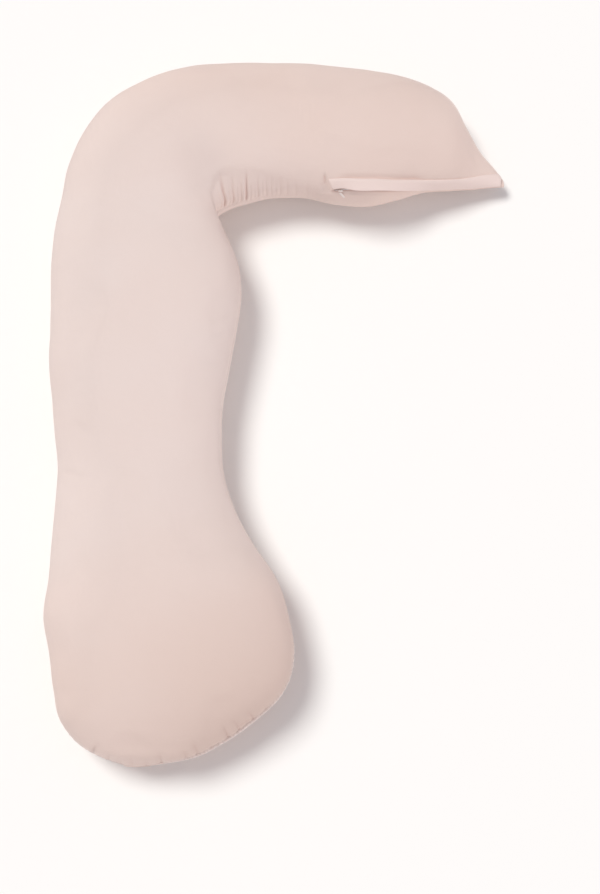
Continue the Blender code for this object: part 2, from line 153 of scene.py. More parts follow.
@dataclass(frozen=True)
class PillowShape:
    """The pillow's smooth skin, read between its cuts.

    A place is a distance along the pillow's middle line. A climb is a distance up the skin from a seam
    over the top panel, and is negative on the back panel below that seam.
    """

    upper_squareness: float = 2.15
    lower_squareness: float = 2.35
    floor_turn: float = 0.008
    fine_points: int = 400

    def table(self) -> tuple[np.ndarray, np.ndarray, np.ndarray]:
        """The cuts as numbers, with their places and slopes.

        Returns:
            The table of columns, the place of each row, and each column's slope at each row.
        """
        table = np.array([section[1:] for section in SECTIONS])
        middles = (table[:, 0:2] + table[:, 2:4]) / 2
        steps = np.linalg.norm(np.diff(middles, axis=0), axis=1)[:, None]
        knots = np.concatenate([[0.0], np.cumsum(steps)])
        rates = np.diff(table, axis=0) / steps
        between = (rates[:-1] * steps[1:] + rates[1:] * steps[:-1]) / (steps[:-1] + steps[1:])
        return table, knots, np.concatenate([rates[:1], between, rates[-1:]])

    def cuts(self, places: np.ndarray) -> list[Section]:
        """The sections at some places, on cubics through the table's rows.

        Args:
            places: Distances along the pillow's middle line.

        Returns:
            One section for each place.
        """
        table, knots, slopes = self.table()
        rows = np.clip(np.searchsorted(knots, places) - 1, 0, len(knots) - 2)
        steps = (knots[rows + 1] - knots[rows])[:, None]
        t = (places - knots[rows])[:, None] / steps
        values = table[rows] + (table[rows + 1] - table[rows]) * smooth_step(t)
        values = values + slopes[rows] * steps * t * (1 - t) ** 2
        values = values - slopes[rows + 1] * steps * t * t * (1 - t)
        return [Section("between", *row) for row in values]

    def seam_angle(self, cut: Section) -> float:
        """The angle round a section at which its inner seam runs."""
        share = max(cut.zip_rise, 0.0) / (cut.top - cut.seam)
        return math.asin(min(1.0, share ** (self.upper_squareness / 2)))

    def profile(self, cut: Section, angles: np.ndarray) -> np.ndarray:
        """The smooth outline of a section in its own plane.

        Args:
            cut: The section.
            angles: Angles round it, from the widest level on the inner side over the top.

        Returns:
            For each angle the distance across, towards the inner edge, and the height.
        """
        half_width = math.hypot(cut.inner_x - cut.outer_x, cut.inner_y - cut.outer_y) / 2
        upper = np.sin(angles) >= 0
        power = 2 / np.where(upper, self.upper_squareness, self.lower_squareness)
        reach = np.where(upper, cut.top - cut.seam, cut.seam - cut.under)
        cosine, sine = np.cos(angles), np.sin(angles)
        across = half_width * np.sign(cosine) * np.abs(cosine) ** power
        return np.stack([across, cut.seam + reach * np.sign(sine) * np.abs(sine) ** power], axis=1)

    def half_ring(self, cut: Section, first: float, last: float, steps: int, crowding: float) -> HalfRing:
        """One panel's points from seam to seam, closer together beside both seams.

        Args:
            cut: The section.
            first: Angle of the first seam.
            last: Angle of the last seam.
            steps: Number of steps between the seams.
            crowding: How much closer the points lie beside the seams, from 0 to 1.

        Returns:
            The points with their normals and the distances walked to them.
        """
        fine = self.profile(cut, np.linspace(first, last, self.fine_points))
        walked = distances(fine)
        even = np.linspace(0.0, 1.0, steps + 1)
        wanted = walked[-1] * (even - crowding * np.sin(2 * math.pi * even) / (2 * math.pi))
        tangent = np.gradient(fine, axis=0)
        normals = np.stack([tangent[:, 1], -tangent[:, 0]], axis=1)
        normals = read_at(walked, normals / np.linalg.norm(normals, axis=1)[:, None], wanted)
        return HalfRing(read_at(walked, fine, wanted), normals, wanted)

    def rested(self, height: np.ndarray) -> np.ndarray:
        """Heights pressed flat by the floor, with a soft turn where the cloth leaves it."""
        turn = self.floor_turn
        turning = (height + turn) ** 2 / (4 * turn)
        return np.where(height > turn, height, np.where(height < -turn, 0.0, turning))


class HalfRing(NamedTuple):
    """One panel of a ring: points in the section's plane, their normals and the distances walked."""

    points: np.ndarray
    normals: np.ndarray
    walked: np.ndarray


def in_space(cut: Section, flat: np.ndarray) -> np.ndarray:
    """Turns points of a section's own plane into points in space.

    Args:
        cut: The section.
        flat: Distances across, towards the inner edge, and heights.

    Returns:
        The points' X, Y and Z.
    """
    outer = np.array((cut.outer_x, cut.outer_y))
    inner = np.array((cut.inner_x, cut.inner_y))
    towards_inner = (inner - outer) / np.linalg.norm(inner - outer)
    plan = (outer + inner) / 2 + flat[:, :1] * towards_inner
    return np.concatenate([plan, flat[:, 1:]], axis=1)


@dataclass
class SkinGrid:
    """A grid of points on the pillow's skin: one row for each ring, from the inner seam over the top.

    Attributes:
        points: Places in space, ring by ring.
        normals: The skin's outward normals.
        inner_climb: Distance of each point above the inner seam.
        outer_climb: Distance of each point above the outer seam.
        inner_along: Distance along the inner seam from the crook's corner, for each ring.
        inner_walk: Distance along the inner seam from the foot's tip, for each ring.
        outer_walk: Distance along the outer seam from the foot's tip, for each ring.
        flat: Where each point lies on its panel when that is laid out flat.
        draws: How far the outer and the inner seam are drawn in, for each ring.
        thickness: The pillow's thickness at each ring.
    """

    points: np.ndarray
    normals: np.ndarray
    inner_climb: np.ndarray
    outer_climb: np.ndarray
    inner_along: np.ndarray
    inner_walk: np.ndarray
    outer_walk: np.ndarray
    flat: np.ndarray
    draws: np.ndarray
    thickness: np.ndarray

    @property
    def panel_steps(self) -> int:
        """The number of steps across one panel."""
        return self.points.shape[1] // 2

    def refresh_normals(self) -> None:
        """Works the normals out again from the points."""
        around = np.roll(self.points, -1, axis=1) - np.roll(self.points, 1, axis=1)
        onward = np.gradient(self.points, axis=0)
        normals = np.cross(onward, around)
        self.normals = normals / np.maximum(np.linalg.norm(normals, axis=2, keepdims=True), 1e-12)

    def push(self, amount: np.ndarray) -> None:
        """Moves each point outwards along its normal, and keeps all of them above the floor."""
        self.points = self.points + self.normals * amount[..., None]
        self.points[..., 2] = np.maximum(self.points[..., 2], 0.0)


def skin_grid(shape: PillowShape, rings: int, steps: int, focus: float, crowding: float) -> SkinGrid:
    """Reads the smooth skin on a grid of rings.

    Args:
        shape: The pillow's smooth shape.
        rings: Number of rings from the foot to the corner.
        steps: Steps across each of the two panels.
        focus: How much closer the rings lie at the gathers in the crook.
        crowding: How much closer the points lie beside the seams.

    Returns:
        The grid, with the distances that the seams and folds are placed by.
    """
    _, knots, _ = shape.table()
    fine_places = np.linspace(0.0, knots[-1], 2400)
    fine_cuts = shape.cuts(fine_places)
    inner = distances(np.array([(cut.inner_x, cut.inner_y) for cut in fine_cuts]))
    outer = distances(np.array([(cut.outer_x, cut.outer_y) for cut in fine_cuts]))
    corner = np.interp(knots[CROOK_CORNER], fine_places, inner)
    near_gathers = 1 + focus * bell(inner - corner - 0.100, 0.110)
    near_foot = 1 + FOOT_FOCUS * (1 - smooth_step((inner - 0.30) / 0.10))
    rates = np.diff(inner) * near_gathers[1:] + np.diff(outer)
    metric = np.concatenate([[0.0], np.cumsum(rates * near_foot[1:])])
    places = np.interp(np.linspace(0.0, metric[-1], rings), metric, fine_places)
    cuts = shape.cuts(places)
    points, normals, inner_climb, outer_climb, flat = [], [], [], [], []
    for cut in cuts:
        start = shape.seam_angle(cut)
        upper = shape.half_ring(cut, start, math.pi, steps, crowding)
        lower = shape.half_ring(cut, math.pi, 2 * math.pi + start, steps, crowding)
        outline = np.concatenate([upper.points[:-1], lower.points[:-1]])
        outline[:, 1] = shape.rested(outline[:, 1])
        outward = np.concatenate([upper.normals[:-1], lower.normals[:-1]])
        here = in_space(cut, outline)
        points.append(here)
        normals.append(in_space(cut, outline + outward) - here)
        inner_climb.append(np.concatenate([upper.walked[:-1], lower.walked[:-1] - lower.walked[-1]]))
        outer_climb.append(np.concatenate([upper.walked[-1] - upper.walked[:-1], -lower.walked[:-1]]))
        spread = np.concatenate([upper.walked[-1] / 2 - upper.walked[:-1], lower.walked[:-1] - lower.walked[-1] / 2])
        flat.append(in_space(cut, np.stack([spread, np.zeros_like(spread)], axis=1))[:, :2])
    inner_walk = np.interp(places, fine_places, inner)
    return SkinGrid(
        points=np.array(points),
        normals=np.array(normals),
        inner_climb=np.array(inner_climb),
        outer_climb=np.array(outer_climb),
        inner_along=inner_walk - corner,
        inner_walk=inner_walk,
        outer_walk=np.interp(places, fine_places, outer),
        flat=np.array(flat),
        draws=np.array([(cut.outer_draw, cut.inner_draw) for cut in cuts]),
        thickness=np.array([cut.top - cut.under for cut in cuts]),
    )


def grid_faces(rings: int, around: int) -> list[tuple[int, ...]]:
    """The faces of a closed body of rings, each end closed by a strip from panel to panel.

    Args:
        rings: Number of rings.
        around: Points round each ring, an even number.

    Returns:
        Tuples of vertex numbers, facing outwards.
    """
    faces = []
    for i in range(rings - 1):
        for k in range(around):
            after = (k + 1) % around
            low, high = i * around, (i + 1) * around
            faces.append((low + k, high + k, high + after, low + after))
    last = (rings - 1) * around
    for k in range(around // 2):
        corners = (k, k + 1, (around - k - 1) % around, (around - k) % around)
        faces.append(tuple(dict.fromkeys(corners)))
        faces.append(tuple(dict.fromkeys(last + corner for corner in reversed(corners))))
    return faces


def new_object(name: str, mesh: bpy.types.Mesh) -> bpy.types.Object:
    """Puts a mesh into the scene under a name."""
    made = bpy.data.objects.new(name, mesh)
    bpy.context.scene.collection.objects.link(made)
    return made


def mesh_from(name: str, points: np.ndarray, faces: list[tuple[int, ...]]) -> bpy.types.Mesh:
    """A smooth-shaded mesh from points and faces."""
    mesh = bpy.data.meshes.new(name)
    mesh.from_pydata(points.reshape(-1, 3).tolist(), [], faces)
    mesh.shade_smooth()
    mesh.update()
    return mesh


@dataclass(frozen=True)
class PanelFold:
    """A fold or wrinkle in the top panel along a line in plan.

    Attributes:
        line: The line's points, X and Y in metres.
        depth: How deep it is pressed in.
        width: How far it reaches to both sides.
        sharp: Whether its bottom is a sharp crease, and not a soft valley.
        first_end: How far from the line's start it has its full depth.
        last_end: How far from the line's end it has its full depth.
    """

    line: tuple[tuple[float, float], ...]
    depth: float
    width: float
    sharp: bool = True
    first_end: float = 0.008
    last_end: float = 0.008

    def depth_at(self, plan: np.ndarray) -> np.ndarray:
        """How deep the fold is at some points in plan."""
        across, along, total = nearest_on_line(plan, np.array(self.line))
        taper = smooth_step(along / self.first_end) * smooth_step((total - along) / self.last_end)
        shape = crease if self.sharp else bell
        return self.depth * shape(across, self.width) * taper


def nearest_on_line(plan: np.ndarray, line: np.ndarray) -> tuple[np.ndarray, np.ndarray, float]:
    """Finds where points in plan lie beside a line of straight stretches.

    Args:
        plan: The points, as an array of X and Y.
        line: The line's points.

    Returns:
        The distance to the line, positive to its right; the distance along it; and its length. Points
        past an end have a distance along it below zero or above its length.
    """
    walked = distances(line)
    best = np.full(plan.shape[:-1], np.inf)
    side = np.zeros_like(best)
    along = np.zeros_like(best)
    for index, (start, end) in enumerate(zip(line, line[1:])):
        length = np.linalg.norm(end - start)
        ahead = (end - start) / length
        offset = plan - start
        free = offset @ ahead
        low = -np.inf if index == 0 else 0.0
        high = np.inf if index == len(line) - 2 else length
        on = np.clip(free, low, high)
        apart = offset - np.clip(free, 0.0, length)[..., None] * ahead
        gap = np.linalg.norm(apart, axis=-1)
        right = np.sign(offset[..., 0] * ahead[1] - offset[..., 1] * ahead[0])
        closer = gap < best
        best = np.where(closer, gap, best)
        side = np.where(closer, right, side)
        along = np.where(closer, walked[index] + on, along)
    return best * side, along, walked[-1]


class Gather(NamedTuple):
    """One fold drawn into the top panel by the inner seam at the crook.

    Its place is a distance from the crook's corner along the seam, and lean is how far it drifts along
    the seam for each metre that it climbs.
    """

    along: float
    depth: float
    width: float
    reach: float
    lean: float


GATHERS = (
    Gather(0.0120, 0.0018, 0.0024, 0.078, 0.10),
    Gather(0.0200, 0.0062, 0.0023, 0.090, 0.10),
    Gather(0.0295, 0.0020, 0.0026, 0.074, 0.10),
    Gather(0.0365, 0.0036, 0.0026, 0.083, 0.10),
    Gather(0.0450, 0.0016, 0.0024, 0.070, 0.09),
    Gather(0.0520, 0.0026, 0.0030, 0.077, 0.08),
    Gather(0.0620, 0.0058, 0.0023, 0.084, 0.08),
    Gather(0.0705, 0.0018, 0.0026, 0.068, 0.06),
    Gather(0.0780, 0.0011, 0.0022, 0.054, 0.05),
    Gather(0.0850, 0.0026, 0.0028, 0.072, 0.03),
    Gather(0.0935, 0.0014, 0.0024, 0.060, 0.02),
    Gather(0.1010, 0.0020, 0.0032, 0.064, 0.01),
    Gather(0.1105, 0.0015, 0.0028, 0.066, 0.0),
    Gather(0.1190, 0.0010, 0.0026, 0.050, 0.0),
    Gather(0.1270, 0.0017, 0.0034, 0.062, 0.0),
    Gather(0.1400, 0.0012, 0.0032, 0.056, -0.02),
    Gather(0.1560, 0.0010, 0.0036, 0.054, -0.03),
    Gather(0.1760, 0.0007, 0.0038, 0.048, -0.03),
)


class Pucker(NamedTuple):
    """One short, fine crease in the top panel that starts at the foot's seam, from its start to its end."""

    start: tuple[float, float]
    end: tuple[float, float]
    depth: float

    def fold(self) -> PanelFold:
        """The pucker as a fold that is deepest at the seam."""
        return PanelFold((self.start, self.end), self.depth, 0.0022, first_end=0.003, last_end=0.026)


FOOT_PUCKERS = (
    Pucker((-0.3680, -0.5960), (-0.3520, -0.5800), 0.0016),
    Pucker((-0.3500, -0.6140), (-0.3360, -0.5960), 0.0019),
    Pucker((-0.3270, -0.6300), (-0.3085, -0.6000), 0.0033),
    Pucker((-0.3120, -0.6340), (-0.3020, -0.6150), 0.0013),
    Pucker((-0.2970, -0.6390), (-0.2870, -0.6120), 0.0014),
    Pucker((-0.2760, -0.6450), (-0.2710, -0.6250), 0.0016),
    Pucker((-0.2567, -0.6480), (-0.2520, -0.6180), 0.0017),
    Pucker((-0.2320, -0.6500), (-0.2300, -0.6270), 0.0017),
    Pucker((-0.2050, -0.6490), (-0.2032, -0.6150), 0.0023),
    Pucker((-0.1850, -0.6440), (-0.1850, -0.6220), 0.0010),
    Pucker((-0.1600, -0.6400), (-0.1640, -0.6080), 0.0025),
    Pucker((-0.1400, -0.6340), (-0.1480, -0.5950), 0.0023),
    Pucker((-0.1150, -0.6230), (-0.1230, -0.5990), 0.0012),
    Pucker((-0.0860, -0.6040), (-0.0980, -0.5690), 0.0029),
    Pucker((-0.0640, -0.5920), (-0.0830, -0.5580), 0.0023),
    Pucker((-0.0500, -0.5820), (-0.0620, -0.5610), 0.0020),
    Pucker((-0.0390, -0.5740), (-0.0580, -0.5470), 0.0029),
    Pucker((-0.0180, -0.5570), (-0.0330, -0.5380), 0.0017),
)

WRINKLES = (
    PanelFold(((-0.3619, -0.0441), (-0.3241, -0.0824)), 0.0012, 0.0060, False, 0.020, 0.020),
    PanelFold(((-0.3914, -0.1280), (-0.3314, -0.1535)), 0.0012, 0.0060, False, 0.020, 0.020),
    PanelFold(((-0.1412, 0.0723), (-0.0987, 0.0465)), 0.0012, 0.0060, False, 0.015, 0.015),
    PanelFold(((-0.1240, 0.1320), (-0.0850, 0.1500)), 0.0012, 0.0045, False, 0.015, 0.015),
    PanelFold(((-0.1260, 0.1080), (-0.0880, 0.1230)), 0.0010, 0.0045, False, 0.015, 0.015),
    PanelFold(((-0.1080, 0.3650), (-0.1260, 0.4080), (-0.1480, 0.4550), (-0.1660, 0.5250)),
              0.0056, 0.0420, False, 0.040, 0.110),
    PanelFold(((0.0815, 0.4060), (0.0800, 0.3860)), 0.0024, 0.0070, False, 0.008, 0.008),
    PanelFold(((0.0815, 0.4160), (0.0816, 0.4000)), 0.0042, 0.0018, True, 0.005, 0.005),
    PanelFold(((0.0970, 0.4100), (0.1464, 0.4098), (0.2112, 0.4138), (0.2395, 0.4172), (0.2776, 0.4230)),
              0.0026, 0.0034, True, 0.030, 0.035),
    PanelFold(((-0.0760, -0.5830), (-0.0560, -0.5715), (-0.0380, -0.5610)), 0.0018, 0.0026, True, 0.014, 0.014),
)


@dataclass(frozen=True)
class CrookFold:
    """The long arm's full edge, which overlaps the gathers in the crook.

    The line runs in plan from the arm's upper side down to the seam; the gathers lie to its left.
    """

    line: tuple[tuple[float, float], ...] = (
        (-0.0300, 0.4215),
        (-0.0724, 0.4224),
        (-0.0942, 0.4181),
        (-0.1105, 0.4122),
        (-0.1196, 0.4001),
        (-0.1250, 0.3842),
        (-0.1235, 0.3704),
        (-0.1180, 0.3560),
    )
    sink: float = 0.0029
    sink_reach: float = 0.060
    rise: float = 0.0014
    rise_reach: float = 0.026
    turn: float = 0.0075
    ends: float = 0.110

    def height_at(self, plan: np.ndarray) -> np.ndarray:
        """How far the skin stands out or in beside the fold, at some points in plan."""
        across, along, _ = nearest_on_line(plan, np.array(self.line))
        below = -across
        step = smooth_step(below / self.turn + 0.5)
        low = -self.sink * step * np.exp(-np.maximum(below, 0.0) / self.sink_reach)
        high = self.rise * (1 - step) * np.exp(-np.maximum(-below, 0.0) / self.rise_reach)
        return (low + high) * smooth_step(along / self.ends)


def averaged(values: np.ndarray, window: tuple[int, int]) -> np.ndarray:
    """Averages a grid of vectors over a window, twice.

    Args:
        values: The vectors, ring by ring.
        window: Odd numbers of rings and of points round a ring.

    Returns:
        The averages; the window runs on round each ring and stops at the first and last ring.
    """
    along, around = window
    for _ in range(2):
        padded = np.pad(values, ((along // 2, along // 2), (0, 0), (0, 0)), mode="edge")
        values = sum(padded[k : k + len(values)] for k in range(along)) / along
        values = sum(np.roll(values, k - around // 2, axis=1) for k in range(around)) / around
    return values


class ClothSettings(NamedTuple):
    """How the cover is blown up by its filling in the cloth simulation."""

    pressure: float = 4.0
    frames: int = 20
    cap: float = 0.0018
    seam_free: float = 0.050
    start_inside: float = 0.0030
    seam_shrink: float = 0.10
    quality: int = 5
    fine_window: tuple[int, int] = (5, 3)
    broad_window: tuple[int, int] = (21, 15)


@dataclass
class PillowCover:
    """The filled cover: a top panel and a back panel, sewn edge to edge all round.

    Attributes:
        shape: The smooth shape that the solid model has too.
        rings: Rings of the finished mesh.
        steps: Steps across each panel of the finished mesh.
        cloth_rings: Rings of the mesh that is simulated.
        cloth_steps: Steps across each panel of the mesh that is simulated.
    """

    shape: PillowShape
    rings: int = 880
    steps: int = 66
    cloth_rings: int = 230
    cloth_steps: int = 44
    focus: float = 4.5
    crowding: float = 0.66
    seam_above: float = 0.014
    seam_below: float = 0.0048
    seam_line: float = 0.0011
    full_seam_thickness: float = 0.080
    zip_start: float = 0.226
    zip_end: float = 0.548
    zip_fade: float = 0.012
    groove_depth: float = 0.0046
    groove_width: float = 0.0048
    allowance: float = 0.0095
    allowance_depth: float = 0.0013
    lump_height: float = 0.0016
    lump_size: float = 0.110
    ripple_height: float = 0.0007
    ripple_length: float = 0.013
    deepest_crease: float = 0.0060
    deepest_hollow: float = 0.0060
    # painted shade in the zip's groove and a painted shadow line on the cover just under the flap's free edge
    groove_shade: float = 0.9
    flap_shadow_climb: float = 0.0042
    flap_shadow_width: float = 0.0015
    flap_shadow_strength: float = 0.95
    plain_pucker: float = 0.16
    crook_pucker: float = 0.22
    crook_place: tuple[float, float] = (-0.140, 0.366)
    crook_reach: float = 0.060
    crook_free: float = 0.030
    crook_window: tuple[int, int] = (61, 1)
    end_rings: int = 4
    end_bulge: float = 0.0034

    def build(self, cloth: ClothSettings, finish: JerseyFinish) -> bpy.types.Object:
        """Makes the cover's finished mesh and dresses it.

        Args:
            cloth: How the cloth is simulated.
            finish: The cover's finish.

        Returns:
            The cover, in the place of the solid body.
        """
        self.skin = skin_grid(self.shape, self.rings, self.steps, self.focus, self.crowding)
        self.skin.points = self.skin.points + self.relaxed_offsets(cloth)
        self.skin.points[..., 2] = np.maximum(self.skin.points[..., 2], 0.0)
        self.skin.refresh_normals()
        self.soften_crook()
        hollows = self.hollow_depths()
        self.skin.push(self.lumps() - hollows)
        self.skin.push(np.where(self.on_top(), CrookFold().height_at(self.skin.points[..., :2]), 0.0))
        self.skin.refresh_normals()
        self.plain_points = self.skin.points.copy()
        self.plain_normals = self.skin.normals.copy()
        creases = self.crease_depths()
        self.skin.push(-self.seam_depths() - creases)
        mesh = mesh_from("jersey_cover", self.capped_points(), self.faces())
        self.paint_flat_map(mesh)
        self.paint_crease_shade(mesh, creases)
        self.paint_hollow_shade(mesh, hollows)
        self.paint_seam_map(mesh)
        mesh.materials.append(finish.material())
        cover = new_object("jersey_cover", mesh)
        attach(cover, "root")
        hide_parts("pillow_body")
        return cover

    def on_top(self) -> np.ndarray:
        """Which points lie on the top panel."""
        on = np.zeros(self.skin.points.shape[:2], dtype=bool)
        on[:, : self.skin.panel_steps + 1] = True
        return on

    def relaxed_offsets(self, cloth: ClothSettings) -> np.ndarray:
        """Lets the filling blow the cover up, and reads the folds and dimples that this leaves in it.

        The broad part of each offset is left out, so that the pillow keeps its size.

        Args:
            cloth: How the cloth is simulated.

        Returns:
            One offset for each point of the finished grid, none longer than the cap.
        """
        coarse = skin_grid(self.shape, self.cloth_rings, self.cloth_steps, 1.0, 0.35)
        rest = coarse.points.copy()
        coarse.push(np.full(coarse.points.shape[:2], -cloth.start_inside))
        mesh = mesh_from("cloth_trial", coarse.points, grid_faces(*coarse.points.shape[:2]))
        trial = new_object("cloth_trial", mesh)
        seam = np.minimum(np.abs(coarse.inner_climb), np.abs(coarse.outer_climb))
        floor = coarse.points[..., 2] < 0.002
        self.weigh(trial, "held", np.where(floor, 1.0, 0.35 * bell(seam, 0.006)))
        self.weigh(trial, "drawn", bell(seam, 0.012))
        modifier = trial.modifiers.new("filling", "CLOTH")
        settings = modifier.settings
        settings.quality = cloth.quality
        settings.use_pressure = True
        settings.uniform_pressure_force = cloth.pressure
        settings.effector_weights.gravity = 0.0
        settings.vertex_group_mass = "held"
        settings.vertex_group_shrink = "drawn"
        settings.shrink_min = 0.0
        settings.shrink_max = cloth.seam_shrink
        modifier.point_cache.frame_start = 1
        modifier.point_cache.frame_end = cloth.frames
        scene = bpy.context.scene
        for step in range(1, cloth.frames + 1):
            scene.frame_set(step)
        blown = trial.evaluated_get(bpy.context.evaluated_depsgraph_get()).data
        moved = np.empty(len(blown.vertices) * 3)
        blown.vertices.foreach_get("co", moved)
        scene.frame_set(1)
        bpy.data.objects.remove(trial, do_unlink=True)
        bpy.data.meshes.remove(mesh)
        offsets = moved.reshape(rest.shape) - rest
        offsets = averaged(offsets, cloth.fine_window) - averaged(offsets, cloth.broad_window)
        lengths = np.linalg.norm(offsets, axis=2, keepdims=True)
        log.info("cloth moved by up to %.1f mm before its cap", 1000 * lengths.max())
        capped = offsets * (cloth.cap * np.tanh(lengths / cloth.cap) / np.maximum(lengths, 1e-9))
        return self.spread_offsets(coarse, capped * smooth_step(seam / cloth.seam_free)[..., None])

    def spread_offsets(self, coarse: SkinGrid, offsets: np.ndarray) -> np.ndarray:
        """Reads the simulated grid's offsets at the points of the finished grid.

        Args:
            coarse: The simulated grid.
            offsets: One offset for each of its points.

        Returns:
            One offset for each point of the finished grid.
        """
        walks = coarse.inner_walk + coarse.outer_walk
        wanted = self.skin.inner_walk + self.skin.outer_walk
        rings = np.interp(wanted, walks, np.arange(len(walks)))
        low = np.minimum(rings.astype(int), len(walks) - 2)
        share = (rings - low)[:, None, None]
        positions = (self.steps_to_place(self.steps, self.crowding), self.steps_to_place(self.cloth_steps, 0.35))
        around = []
        for fine_ring, coarse_low in enumerate(low):
            both = offsets[coarse_low] * (1 - share[fine_ring]) + offsets[coarse_low + 1] * share[fine_ring]
            closed = np.concatenate([both, both[:1]])
            around.append(read_at(positions[1], closed, positions[0][:-1]))
        return np.array(around)

    @staticmethod
    def steps_to_place(steps: int, crowding: float) -> np.ndarray:
        """Shares of the way round a ring, 0 to 1 over the top panel and 1 to 2 under the back panel."""
        even = np.linspace(0.0, 1.0, steps + 1)
        half = even - crowding * np.sin(2 * math.pi * even) / (2 * math.pi)
        return np.concatenate([half[:-1], 1.0 + half])

    @staticmethod
    def weigh(piece: bpy.types.Object, name: str, weights: np.ndarray) -> None:
        """Adds a vertex group with one weight for each point of a grid."""
        group = piece.vertex_groups.new(name=name)
        for index, weight in enumerate(weights.reshape(-1)):
            if weight > 0.01:
                group.add([index], float(weight), "REPLACE")

    def soften_crook(self) -> None:
        """Rounds off the line that the closely set rings leave in the top panel above the crook's corner."""
        plan = self.skin.points[..., :2]
        weight = bell(np.linalg.norm(plan - np.array(self.crook_place), axis=2), self.crook_reach)
        weight = weight * smooth_step(self.skin.inner_climb / self.crook_free)
        rounded = averaged(self.skin.points, self.crook_window)
        self.skin.points = self.skin.points + (rounded - self.skin.points) * weight[..., None]
        self.skin.refresh_normals()

    def lumps(self) -> np.ndarray:
        """The filling's soft lumps, as heights over the smooth skin."""
        heights = []
        for point in self.skin.points.reshape(-1, 3):
            broad = noise.noise(Vector(point) / self.lump_size)
            small = noise.noise(Vector(point) / (self.lump_size * 0.38) + Vector((7.1, 3.3, 5.7)))
            heights.append(broad + 0.35 * small)
        heights = np.array(heights).reshape(self.skin.points.shape[:2])
        return self.lump_height * heights * smooth_step(self.skin.thickness / 0.14)[:, None]

    def seam_depths(self) -> np.ndarray:
        """How far the two seams and the zip draw the cloth in."""
        skin = self.skin
        fade = smooth_step(skin.thickness / self.full_seam_thickness)[:, None]
        outer = skin.draws[:, :1] * self.seam_shape(skin.outer_climb)
        inner = skin.draws[:, 1:] * self.seam_shape(skin.inner_climb)
        along = skin.inner_along
        at_zip = smooth_step((along - self.zip_start) / self.zip_fade + 1)
        at_zip = (at_zip * smooth_step((self.zip_end - along) / self.zip_fade))[:, None]
        groove = self.groove_depth * bell(skin.inner_climb, self.groove_width)
        groove = groove + self.allowance_depth * crease(skin.inner_climb + self.allowance, 0.0022)
        inner_strength, outer_strength = self.pucker_strengths()
        ripple = self.ripples(skin.inner_walk, skin.inner_climb) * (1 - at_zip) * inner_strength
        ripple = ripple + self.ripples(skin.outer_walk, skin.outer_climb) * outer_strength
        return fade * (outer + inner * (1 - at_zip) + groove * at_zip + ripple)

    def seam_shape(self, climb: np.ndarray) -> np.ndarray:
        """A plain seam's depth as a share: gentle above it, quick below it, with a fine line between."""
        width = np.where(climb > 0, self.seam_above, self.seam_below)
        return 0.85 * bell(climb, width) + 0.15 * crease(climb, self.seam_line)

    def ripples(self, walk: np.ndarray, climb: np.ndarray) -> np.ndarray:
        """The small, uneven puckers that the thread leaves beside a seam."""
        waves = []
        for place in walk:
            swell = 0.5 + 0.5 * noise.noise(Vector((place / 0.06, 0.3, 0.7)))
            drift = 0.004 * noise.noise(Vector((place / 0.03, 2.3, 1.7)))
            waves.append(swell * math.sin(2 * math.pi * (place + drift) / self.ripple_length))
        near = bell(np.abs(climb) - 0.006, 0.006)
        return self.ripple_height * np.array(waves)[:, None] * near

    def pucker_strengths(self) -> tuple[np.ndarray, np.ndarray]:
        """How strongly the inner and the outer seam pucker at each ring: most at the foot."""
        foot = 1 - smooth_step((self.skin.inner_walk - 0.34) / 0.12)
        crook = self.crook_pucker * bell(self.skin.inner_along - 0.10, 0.11)
        inner = np.maximum(np.maximum(foot, crook), self.plain_pucker)[:, None]
        return inner, np.maximum(foot, self.plain_pucker)[:, None]

    def hollow_depths(self) -> np.ndarray:
        """How deep the soft wrinkles press the top panel in."""
        plan = self.skin.points[..., :2]
        total = sum(fold.depth_at(plan) for fold in WRINKLES if not fold.sharp)
        return np.where(self.on_top(), total, 0.0)

    def crease_depths(self) -> np.ndarray:
        """How deep the gathers, puckers and sharp wrinkles press the top panel in."""
        skin = self.skin
        plan = skin.points[..., :2]
        creases = [pucker.fold() for pucker in FOOT_PUCKERS] + [fold for fold in WRINKLES if fold.sharp]
        total = sum(fold.depth_at(plan) for fold in creases)
        climb = np.maximum(skin.inner_climb, 0.0)
        for gather in GATHERS:
            beside = skin.inner_along[:, None] - gather.along - gather.lean * climb
            reach = smooth_step(climb / 0.007) * (1 - smooth_step((climb / gather.reach - 0.55) / 0.45))
            total = total + gather.depth * reach * (crease(beside, gather.width) - 0.3 * bell(beside, 0.0080))
        return np.where(self.on_top(), total, 0.0)

    def faces(self) -> list[tuple[int, ...]]:
        """The faces of the cover with its two rounded ends."""
        return grid_faces(self.rings + 2 * self.end_rings, 2 * self.steps)

    def capped_points(self) -> np.ndarray:
        """The grid's points with a few more rings that round off both ends."""
        points = self.skin.points
        first = self.end_cap(points[0], points[0].mean(axis=0) - points[6].mean(axis=0))
        last = self.end_cap(points[-1], points[-1].mean(axis=0) - points[-4].mean(axis=0))
        return np.concatenate([first[::-1], points, last])

    def end_cap(self, ring: np.ndarray, outwards: np.ndarray) -> np.ndarray:
        """Rings that shrink from a ring towards its middle and bulge outwards.

        Args:
            ring: The ring that they continue.
            outwards: The direction in which they bulge.

        Returns:
            The new rings, the smallest last.
        """
        middle = ring.mean(axis=0)
        ahead = outwards / np.linalg.norm(outwards)
        made = []
        for step in range(1, self.end_rings + 1):
            turn = 0.5 * math.pi * step / (self.end_rings + 0.3)
            made.append(middle + (ring - middle) * math.cos(turn) + ahead * self.end_bulge * math.sin(turn))
        return np.array(made)

